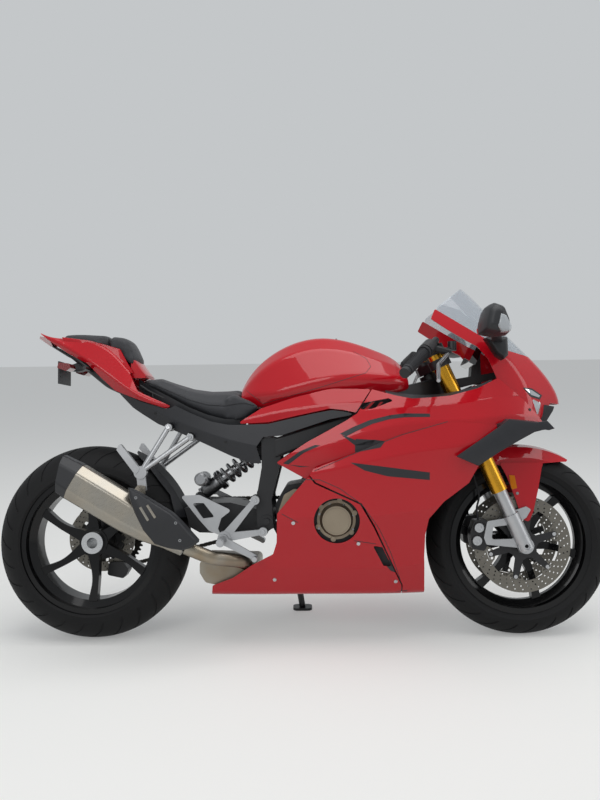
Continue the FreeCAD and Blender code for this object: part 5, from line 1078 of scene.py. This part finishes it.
def stuffed(name, bm, voxel_mm, cap_mm, stands_for):
    """Pad whose cover swells under pressure, and hardly downwards."""
    piece = finish_piece(name, bm, seat_cloth, "root", stands_for)
    remesh = piece.modifiers.new("voxels", "REMESH")
    remesh.mode = "VOXEL"
    remesh.voxel_size = voxel_mm * MM
    start = baked(piece)
    piece.modifiers.clear()
    piece.data = start
    swell(piece, start, cap_mm * MM)
    bm = bmesh.new()
    bm.from_mesh(start)
    for _ in range(3):
        bmesh.ops.smooth_vert(bm, verts=bm.verts[:], factor=0.5, use_axis_x=True,
                              use_axis_y=True, use_axis_z=True)
    bmesh.ops.recalc_face_normals(bm, faces=bm.faces[:])
    bm.to_mesh(start)
    bm.free()
    start.polygons.foreach_set("use_smooth", [True] * len(start.polygons))
    start.materials.clear()
    start.materials.append(seat_cloth)
    finer = piece.modifiers.new("finer", "SUBSURF")
    finer.levels = finer.render_levels = 1
    print(name, "swollen", len(start.polygons), "faces")
    return piece


foam = lofted([seat_loop(*row) for row in SEAT_ROWS])
pour(foam, lofted([lobe_loop(*row) for row in LOBE_ROWS]), both_sides=True)
seat_pad = stuffed("rider_seat_pad", foam, voxel_mm=5.0, cap_mm=7.0,
                   stands_for=("rider_seat",))

# %% [markdown]
# The cover is sewn along both sides, where its top meets the side panels.  The seam is a thin
# raised cord, so it is laid on the swollen foam along lines of sight from the side.

# %% Seat seams
SEAM_LINE = ((-512, 838), (-480, 826), (-430, 804), (-370, 777), (-310, 760), (-255, 756),
             (-215, 762), (-190, 764), (-160, 756))
SEAM_RADIUS, SEAM_LIFT = 1.3, 0.4
bm = upright_copy(seat_pad.data)
foam_skin = BVHTree.FromBMesh(bm)
bm.free()
finish_piece("seat_seams", cords(foam_skin, [(SEAM_LINE, SEAM_RADIUS, SEAM_LIFT)]),
             rubber_moulding)

# %% [markdown]
# Behind the rider sit two small pads.  The rear one is thin and narrows towards the tail's
# tip.  The front one is a raised stop whose corners are cut back in plan.  Both are drawn as
# outlines seen from the side, one for each width, and bridged across the bike.

# %% Rear pads
REAR_PAD = ((-797, 972), (-797, 998), (-790, 1002), (-720, 999), (-645, 993), (-641, 988),
            (-641, 950), (-700, 950), (-760, 962))
STOP_PAD = ((-634, 950), (-635, 985), (-628, 992), (-592, 986), (-574, 974), (-560, 948),
            (-546, 916), (-546, 896), (-558, 898), (-574, 914), (-600, 940))
PAD_LENGTH = 160.0
WIDTH_SHARES = (-1.0, -0.93, -0.72, -0.4, 0.0, 0.4, 0.72, 0.93, 1.0)


def across(outline, half_width, cut_back, narrow):
    """Loops of a side outline at several widths, cut back and lowered towards the edges."""
    back, low = min(x for x, _ in outline), min(z for _, z in outline)
    loops = []
    for share in WIDTH_SHARES:
        shorter = (1.0 - cut_back * share * share) * (0.985 if abs(share) == 1.0 else 1.0)
        lower = 1.0 - 0.13 * abs(share) ** 6
        loops.append([(back + (x - back) * shorter,
                       share * half_width * (1.0 - narrow * (1.0 - (x - back) / PAD_LENGTH)),
                       low + (z - low) * lower) for x, z in outline])
    return loops


rear = across(REAR_PAD, half_width=55.0, cut_back=0.0, narrow=0.25)
stop = across(STOP_PAD, half_width=80.0, cut_back=0.16, narrow=0.0)
for name, loops, stands_for in (("rear_pad", rear, ()), ("stop_pad", stop, ("tail_pads",))):
    stuffed(name, lofted(loops), voxel_mm=4.0, cap_mm=4.0, stands_for=stands_for)

# %% [markdown]
# Under the seat a black moulded base closes the gap to the side covers.  It is one skirt that
# follows the seat's lower edge, and its black also paints the narrow shadow line under that edge,
# a painted shadow.

# %% Seat base
BASE_LINE = ((-545, 846, 52), (-515, 822, 76), (-480, 803, 92), (-430, 777, 106),
             (-370, 745, 117), (-310, 720, 122), (-255, 706, 122), (-205, 704, 116))
SKIRT = ((0.0, 8.0), (-5.0, 8.0), (-9.0, -30.0), (-4.0, -30.0))
# black skirt: a moulded base whose black is also a painted shadow line under the seat's edge
for side, word in zip(SIDES, ("right", "left")):
    rows = [[(x, side * (half + out), z + up) for out, up in SKIRT] for x, z, half in BASE_LINE]
    finish_piece("seat_base_and_shadow_" + word, lofted(rows), grained_abs)

# %% [markdown]
# The winglet is a slim horizontal blade that leaves the fairing under the lamp, with a flat
# end plate swept down and back.  Both are moulded ABS about eight millimetres thick with
# rounded edges, so each is bridged between two outlines and given a small bevel.

# %% Winglets
END_PLATE = [(752, 670), (730, 694), (700, 688), (616, 700), (595, 684), (456, 590), (521, 561),
             (589, 604), (648, 637), (691, 660), (716, 666)]
BLADE_ROOT = [(760, 672), (744, 693), (700, 700), (616, 706), (560, 690), (560, 680), (616, 690),
              (650, 686), (690, 684), (716, 680), (744, 670)]
BLADE_TIP = [(752, 670), (730, 694), (700, 689), (616, 700), (595, 684), (590, 676), (612, 680),
             (650, 676), (691, 672), (716, 668), (736, 665)]
blade = lofted([[(x, y, z) for x, z in outline]
                for outline, y in ((BLADE_TIP, -258.0), (BLADE_ROOT, -150.0))])
paired("winglet_blades", slate_abs, panel([END_PLATE], y=-256.0, thickness=8.0, bevel=1.6),
       rounded(blade, width=1.2), stands_for=("winglets",))

# %% [markdown]
# A mirror is a hollow moulded housing with a silvered glass on its rear side, and a clear
# indicator window in its outer end.  The housing has soft edges, so a few bridged loops get a
# wide bevel.

# %% Mirrors
HOUSING = ((521, 952), (525, 989), (536, 1026), (557, 1040), (587, 1029), (604, 983),
           (601, 947), (563, 943))
HOUSING_ROWS = ((-228, 0.35), (-234, 0.62), (-262, 0.90), (-310, 1.02), (-350, 0.97),
                (-378, 0.78), (-388, 0.45))
GLASS = [[(538.0 + 0.22 * 36.0 * v - depth, -305.0 + 58.0 * u, 987.0 + 34.0 * v)
          for u, v in [at_angle(1.0, 30.0 * i) for i in range(12)]] for depth in (0.0, 8.0)]
MIRROR_LENS = ((556, 967), (565, 1006), (583, 998), (599, 963), (596, 949), (572, 947))
MIRROR_FOOT = ((567, 956), (600, 962), (636, 957), (637, 900), (622, 887), (602, 901))
STALK = ((602, -196, 944, 18, 9), (594, -222, 954, 16, 7), (582, -250, 968, 15, 7))
CORNERS = ((-1, -1), (-1, 1), (1, 1), (1, -1))
paired("mirror_housings", grained_abs,
       rounded(stacked(HOUSING, (563.0, 989.0), HOUSING_ROWS), width=6.0, segments=3,
               angle_deg=18.0),
       stands_for=("mirrors",))
paired("mirror_glasses", mirror_glass, lofted(GLASS))
paired("mirror_lenses", lens_plastic,
       rounded(stacked(MIRROR_LENS, (589.0, 973.0), ((-340, 1.0), (-384, 0.96), (-390, 0.80))),
               width=1.5))
foot = stacked(MIRROR_FOOT, (608.0, 928.0), ((-150, 1.05), (-188, 1.0), (-204, 0.72)))
stalk = lofted([[(x + dx * wide, y, z + dz * high) for dx, dz in CORNERS]
                for x, y, z, wide, high in STALK])
paired("mirror_stalks", grained_abs, rounded(foot, width=4.0), rounded(stalk, width=4.0))

# %% [markdown]
# The nose has a running-light slit above each lamp, and the fender carries an amber
# reflector.  All are thin parts set in the skin, so they are cut from the skin as the bands
# were, and stand a little prouder.

# %% Lamp slits and reflectors
TRIMS = (
    # name, node, outline, finish, body, thickness
    ("slit_surrounds", "upper_cowl",
     [(694, 802), (728, 800), (768, 778), (756, 764), (720, 772)], grained_abs, "root", 0.6),
    ("slit_lenses", "upper_cowl",
     [(702, 798), (727, 794), (759, 777), (753, 771), (723, 778)], mirror_glass, "root", 1.6),
    ("fender_reflectors", "front_fender",
     [(657, 523), (675, 521), (682, 481), (664, 476)], amber_lens, "fork", 3.0),
)
for name, node, outline, finish, body, thickness in TRIMS:
    filmed(name, (node,), [outline], finish, body, thickness)

# %% [markdown]
# Between the pads and the seat a red bridge closes the tail's hump.  Beside the nose, black
# cheeks frame the intake, and each lamp shows a pale reflector behind its lens.

# %% Tail bridge, intake cheeks and lamp reflectors
BRIDGE = [(-566, 936), (-546, 906), (-530, 884), (-512, 862), (-514, 852), (-566, 852)]
CHEEK = [(806, 742), (775, 748), (741, 704), (733, 690), (770, 680), (801, 728)]
LAMP = [(711, 768), (757, 757), (740, 700), (730, 706)]
finish_piece("tail_bridge", lofted(across(BRIDGE, half_width=74.0, cut_back=0.10, narrow=0.0)),
             red_lacquer)
paired("intake_cheeks", grained_abs, panel([CHEEK], y=-80.0, thickness=12.0, bevel=2.0))
paired("lamp_reflectors", mirror_glass, panel([LAMP], y=-98.0, thickness=8.0, bevel=2.0))

# %% [markdown]
# The heat shield is a pressed and coated sheet over the hot pipe.  Its outline is drawn from
# the side, and four loops give it a domed edge.  Two raised lips frame its cooling slots.

# %% Heat shield
SHIELD = ((-531, 508), (-505, 496), (-450, 462), (-399, 430), (-373, 405), (-345, 374),
          (-318, 344), (-345, 326), (-368, 319), (-410, 326), (-451, 339), (-485, 380),
          (-510, 430), (-527, 475))
DOME = ((40, 0.96), (0, 1.0), (-7, 0.95), (-10, 0.84))
canister_skin = skin_of("exhaust_canister")
near = [on_skin(canister_skin, x, z) for x, z in SHIELD]
SHIELD_Y = min(found[0].y for found in near if found)
finish_piece("heat_shield_shell",
             stacked(SHIELD, (-430.0, 410.0), [(SHIELD_Y + out, factor) for out, factor in DOME]),
             grained_abs, stands_for=("heat_shield",))
slots, heads = bmesh.new(), bmesh.new()
for ends in (((-492, 450), (-468, 410)), ((-471, 456), (-447, 418))):
    tube(slots, [(x, SHIELD_Y - 9.5, z) for x, z in ends], radius=4.2)
finish_piece("heat_shield_slots", slots, canister_steel)
for x, z in ((-374, 350), (-386, 402), (-505, 478)):
    screw(heads, aimed((x, SHIELD_Y - 8.0, z), -ACROSS), radius=5.0, height=2.6)
finish_piece("shield_screws", heads, zinc_steel)

# %% [markdown]
# The tail's sides rise to a shoulder beside the pads.  Each shoulder is a thin rail with a
# bevelled edge, leant a little inwards.

# %% Tail shoulders
RAIL = [(-800, 993), (-731, 982), (-665, 967), (-599, 947), (-583, 916), (-556, 868),
        (-600, 862), (-658, 915), (-731, 952), (-792, 978)]
shoulder = lofted([[(x, -48.0 - 30.0 * min(1.0, (x + 800) / 120.0) - thick, z)
                    for x, z in RAIL] for thick in (0.0, 9.0)])
paired("tail_shoulders", red_lacquer, rounded(shoulder, width=2.5))

# %% [markdown]
# The drive chain has a link every 15.875 mm.  The path is two straight runs and two arcs
# round the sprockets.  Walking along it one pitch at a time gives the pins, and between two
# pins go two plates, in turn close to and farther from the middle.

# %% Drive chain
CHAIN_PITCH, CHAIN_Y, LINK_MM = 15.875, 160.0, 1.8
FRONT_TEETH, REAR_TEETH = 15, 48
LINK_ENDS = [(-11.0, 0.0), (-9.0, 5.6), (-4.0, 6.6), (0.0, 4.8), (4.0, 6.6), (9.0, 5.6),
             (11.0, 0.0), (9.0, -5.6), (4.0, -6.6), (0.0, -4.8), (-4.0, -6.6), (-9.0, -5.6)]
RADIUS_FRONT, RADIUS_REAR = [CHAIN_PITCH / (2 * math.sin(math.pi / teeth))
                             for teeth in (FRONT_TEETH, REAR_TEETH)]
FRONT_SPROCKET = (Vector((-20.0, 402.0)), RADIUS_FRONT)
REAR_SPROCKET = (REAR_AXLE.xz, RADIUS_REAR)
reach = FRONT_SPROCKET[0] - REAR_SPROCKET[0]
heading = math.atan2(reach.y, reach.x)
wrap = math.acos((RADIUS_REAR - RADIUS_FRONT) / reach.length)
straight = math.sqrt(reach.length ** 2 - (RADIUS_REAR - RADIUS_FRONT) ** 2)
arc_front, arc_rear = 2 * wrap * RADIUS_FRONT, (2 * math.pi - 2 * wrap) * RADIUS_REAR
chain_length = 2 * straight + arc_front + arc_rear


def round_point(sprocket, angle):
    """Point of a sprocket's pitch circle."""
    centre, radius = sprocket
    return centre + radius * Vector((math.cos(angle), math.sin(angle)))


def chain_point(s):
    """Point of the chain's path at a distance along it."""
    s %= chain_length
    for first, last, angle, arc in (
            (REAR_SPROCKET, FRONT_SPROCKET, heading + wrap, arc_front),
            (FRONT_SPROCKET, REAR_SPROCKET, heading - wrap, arc_rear)):
        if s < straight:
            return round_point(first, angle).lerp(round_point(last, angle), s / straight)
        s -= straight
        if s < arc:
            return round_point(last, angle - s / last[1])
        s -= arc
    return round_point(REAR_SPROCKET, heading + wrap)


links = round(chain_length / CHAIN_PITCH)
chain = bmesh.new()
for i in range(links):
    here, there = (chain_point(chain_length * k / links) for k in (i, i + 1))
    middle, along = (here + there) / 2, there - here
    turn_deg = math.degrees(math.atan2(along.y, along.x))
    for offset in ((5.6, -7.4) if i % 2 else (3.6, -5.4)):
        pour(chain, flat_plate([LINK_ENDS], [], LINK_MM),
             standing(middle.x, CHAIN_Y + offset + LINK_MM, middle.y, turn_deg))
    bmesh.ops.create_cone(chain, cap_ends=True, segments=8, radius1=4.4, radius2=4.4, depth=16.0,
                          matrix=standing(here.x, CHAIN_Y, here.y))
finish_piece("chain_links", chain, dark_steel, stands_for=("drive_chain",))

# %% [markdown]
# The rear shock absorber is a damper inside a coil spring.  The spring is one round wire wound
# in a helix, so a curve that rises as it turns is swept and made a mesh.  Collars and the
# round gas reservoir are turned parts.

# %% Rear shock absorber
SHOCK_LOW, SHOCK_HIGH = Vector((-352.0, 0.0, 462.0)), Vector((-150.0, 0.0, 610.0))
SPRING_TURNS, SPRING_START, SPRING_END = 4.5, 102.0, 216.0
SPRING_RADIUS, WIRE_RADIUS, STEPS_PER_TURN = 27.0, 6.2, 20
DAMPER = [(14, 0.5), (14, 18), (24, 24), (78, 24), (78, 32), (84, 35), (88, 33), (92, 35),
          (98, 32), (98, 17), (150, 17), (150, 8), (218, 8), (218, 33), (224, 33), (224, 12),
          (236, 12), (236, 0.5)]
SHOCK_EYE = [(-17, 6), (-17, 12), (-15, 14), (15, 14), (17, 12), (17, 6)]
RESERVOIR = [(-90, 0.5), (-90, 15), (-87, 19), (-80, 19), (-78, 22), (-30, 22), (-28, 20),
             (-22, 20), (-20, 22), (16, 22), (20, 18), (20, 0.5)]
shock_axis = (SHOCK_HIGH - SHOCK_LOW).normalized()
shock_up = shock_axis.cross(ACROSS)
spring_points = []
for k in range(int(SPRING_TURNS * STEPS_PER_TURN) + 1):
    share = k / (SPRING_TURNS * STEPS_PER_TURN)
    angle = 2 * math.pi * SPRING_TURNS * share
    climb = SPRING_START + share * (SPRING_END - SPRING_START)
    spring_points.append(SHOCK_LOW + shock_axis * climb + SPRING_RADIUS * (
        math.cos(angle) * ACROSS + math.sin(angle) * shock_up))
spring, pots = bmesh.new(), bmesh.new()
tube(spring, spring_points, WIRE_RADIUS)
finish_piece("shock_spring", spring, blasted_aluminium)
finish_piece("shock_damper", turned_ring(DAMPER, SHOCK_LOW, shock_axis), zinc_steel,
             stands_for=("rear_shock",))
for centre in (SHOCK_LOW, SHOCK_HIGH):
    pour(pots, turned_ring(SHOCK_EYE, centre, steps=24))
pour(pots, turned_ring(RESERVOIR, Vector((-338.0, 0.0, 520.0))))
tube(pots, [(-338.0, -4.0, 520.0), (-322.0, -2.0, 508.0), (-306.0, 0.0, 498.0)],
     radius=11.0)
finish_piece("shock_reservoir", pots, zinc_steel)

# %% [markdown]
# Grips are soft rubber sleeves with raised ribs.  Each rib is a low ring turned about the
# bar's own line, which comes from the fork's rake.

# %% Grip ribs
RAKE = math.radians(24.0)
FORK_UP = Vector((-math.sin(RAKE), 0.0, math.cos(RAKE)))
FORK_FRONT = Vector((math.cos(RAKE), 0.0, math.sin(RAKE)))
BAR_ROOT = FRONT_AXLE + FORK_UP * 712.0 + FORK_FRONT * 16.0 - ACROSS * 133.0
BAR_TIP = Vector((300.0, -340.0, 841.0))
RIB = [(-1.8, 16.0), (-1.4, 18.2), (1.4, 18.2), (1.8, 16.0)]
bar_line = BAR_TIP - BAR_ROOT
paired("grip_ribs", rubber_moulding,
       *[turned_ring(RIB, BAR_ROOT + bar_line * (0.47 + 0.03 * k), bar_line, 20)
         for k in range(16)], body="fork")

# %% [markdown]
# Small black closing panels sit behind the openings of the fairing, so that no daylight shows
# through the cooling slot and the joint at its lower front; their black is painted shade for the
# dark inside of the openings.  Two red vanes cross the upper air slot, and the lower fairing's
# vent runs out in a dark foot.

# %% Painted-shade panels, vanes and vent feet at the openings
SHEET_MM = 2.0
SHADE_BACKINGS = (([(206, 232), (296, 232), (306, 330), (262, 352), (206, 340)], -150.0),
         ([(158, 728), (280, 740), (284, 778), (160, 768)], -140.0),
         ([(274, 240), (306, 240), (318, 163), (284, 163)], -120.0))
VANES = ([(187, 738), (196, 735), (220, 760), (211, 760)],
         [(214, 732), (223, 735), (246, 759), (237, 759)])
VENT_FOOT = [(240, 262), (264, 274), (286, 226), (263, 235)]
# black closing panels: painted shade inside the openings
paired("slot_backing_painted_shade", grained_abs, *[panel([outline], y, SHEET_MM) for outline, y in SHADE_BACKINGS])
paired("slot_vanes", red_lacquer, panel(VANES, y=-194.0, thickness=SHEET_MM))
filmed("vent_feet", ("lower_fairings",), [VENT_FOOT], grained_abs)

# %% [markdown]
# Each hand's lever is a bright cast blade on the dark perch, so a thin shell of its own
# covers the solid's lever.

# %% Lever blades
LEVER = [Vector(p) for p in ((460.9, -162.8, 916.3), (411.1, -239.9, 868.4),
                             (396.6, -325.5, 814.1))]
LEVER[0] = LEVER[0].lerp(LEVER[1], 0.12)
blades = bmesh.new()
for side in reversed(SIDES):
    tube(blades, [Vector((p.x, side * p.y, p.z)) for p in LEVER], radius=6.2)
finish_piece("lever_blades", blades, blasted_aluminium, "fork")

# %% [markdown]
# The rear sprocket is a toothed steel plate with round lightening holes, bolted to the hub.

# %% Rear sprocket
SPROCKET_MM = 6.0
TOOTH = ((-5.0, -0.34), (3.5, -0.12), (3.5, 0.12), (-5.0, 0.34))
HUB = [(-11, 40), (-11, 56), (-3, 56), (-3, 60), (6, 60), (6, 40)]
rim_points = [at_angle(RADIUS_REAR + rise, (i + 0.5 + share) * 360.0 / REAR_TEETH)
              for i in range(REAR_TEETH) for rise, share in TOOTH]
windows = [(12.5, 16) + at_angle(90.0, i * 30.0) for i in range(12)]
toothed = bmesh.new()
pour(toothed, flat_plate([rim_points], [(40.0, 32, 0.0, 0.0)] + windows, SPROCKET_MM),
     standing(REAR_AXLE.x, CHAIN_Y + SPROCKET_MM / 2, REAR_AXLE.z))
finish_piece("sprocket_plate", toothed, dark_steel, "rear_wheel", ("rear_sprocket",))
hub_middle = REAR_AXLE + ACROSS * CHAIN_Y
hub = turned_ring(HUB, hub_middle, steps=40)
for i in range(6):
    u, v = at_angle(51.0, i * 60.0)
    screw(hub, aimed(hub_middle + Vector((u, 6.0, v)), ACROSS), radius=5.5, height=5.0)
finish_piece("sprocket_hub", hub, powder_coat, "rear_wheel")

# %% [markdown]
# The filler cap is held by a ring of small screws.

# %% Filler cap screws
CAP_MIDDLE, CAP_TOP, CAP_SCREWS = 66.0, 975.4, 7
heads = bmesh.new()
for i in range(CAP_SCREWS):
    u, v = at_angle(40.5, i * 360.0 / CAP_SCREWS + 20.0)
    screw(heads, aimed((CAP_MIDDLE + u, v, CAP_TOP), UPWARDS), radius=3.2, height=1.6)
finish_piece("cap_screws", heads, zinc_steel, "fuel_cap")
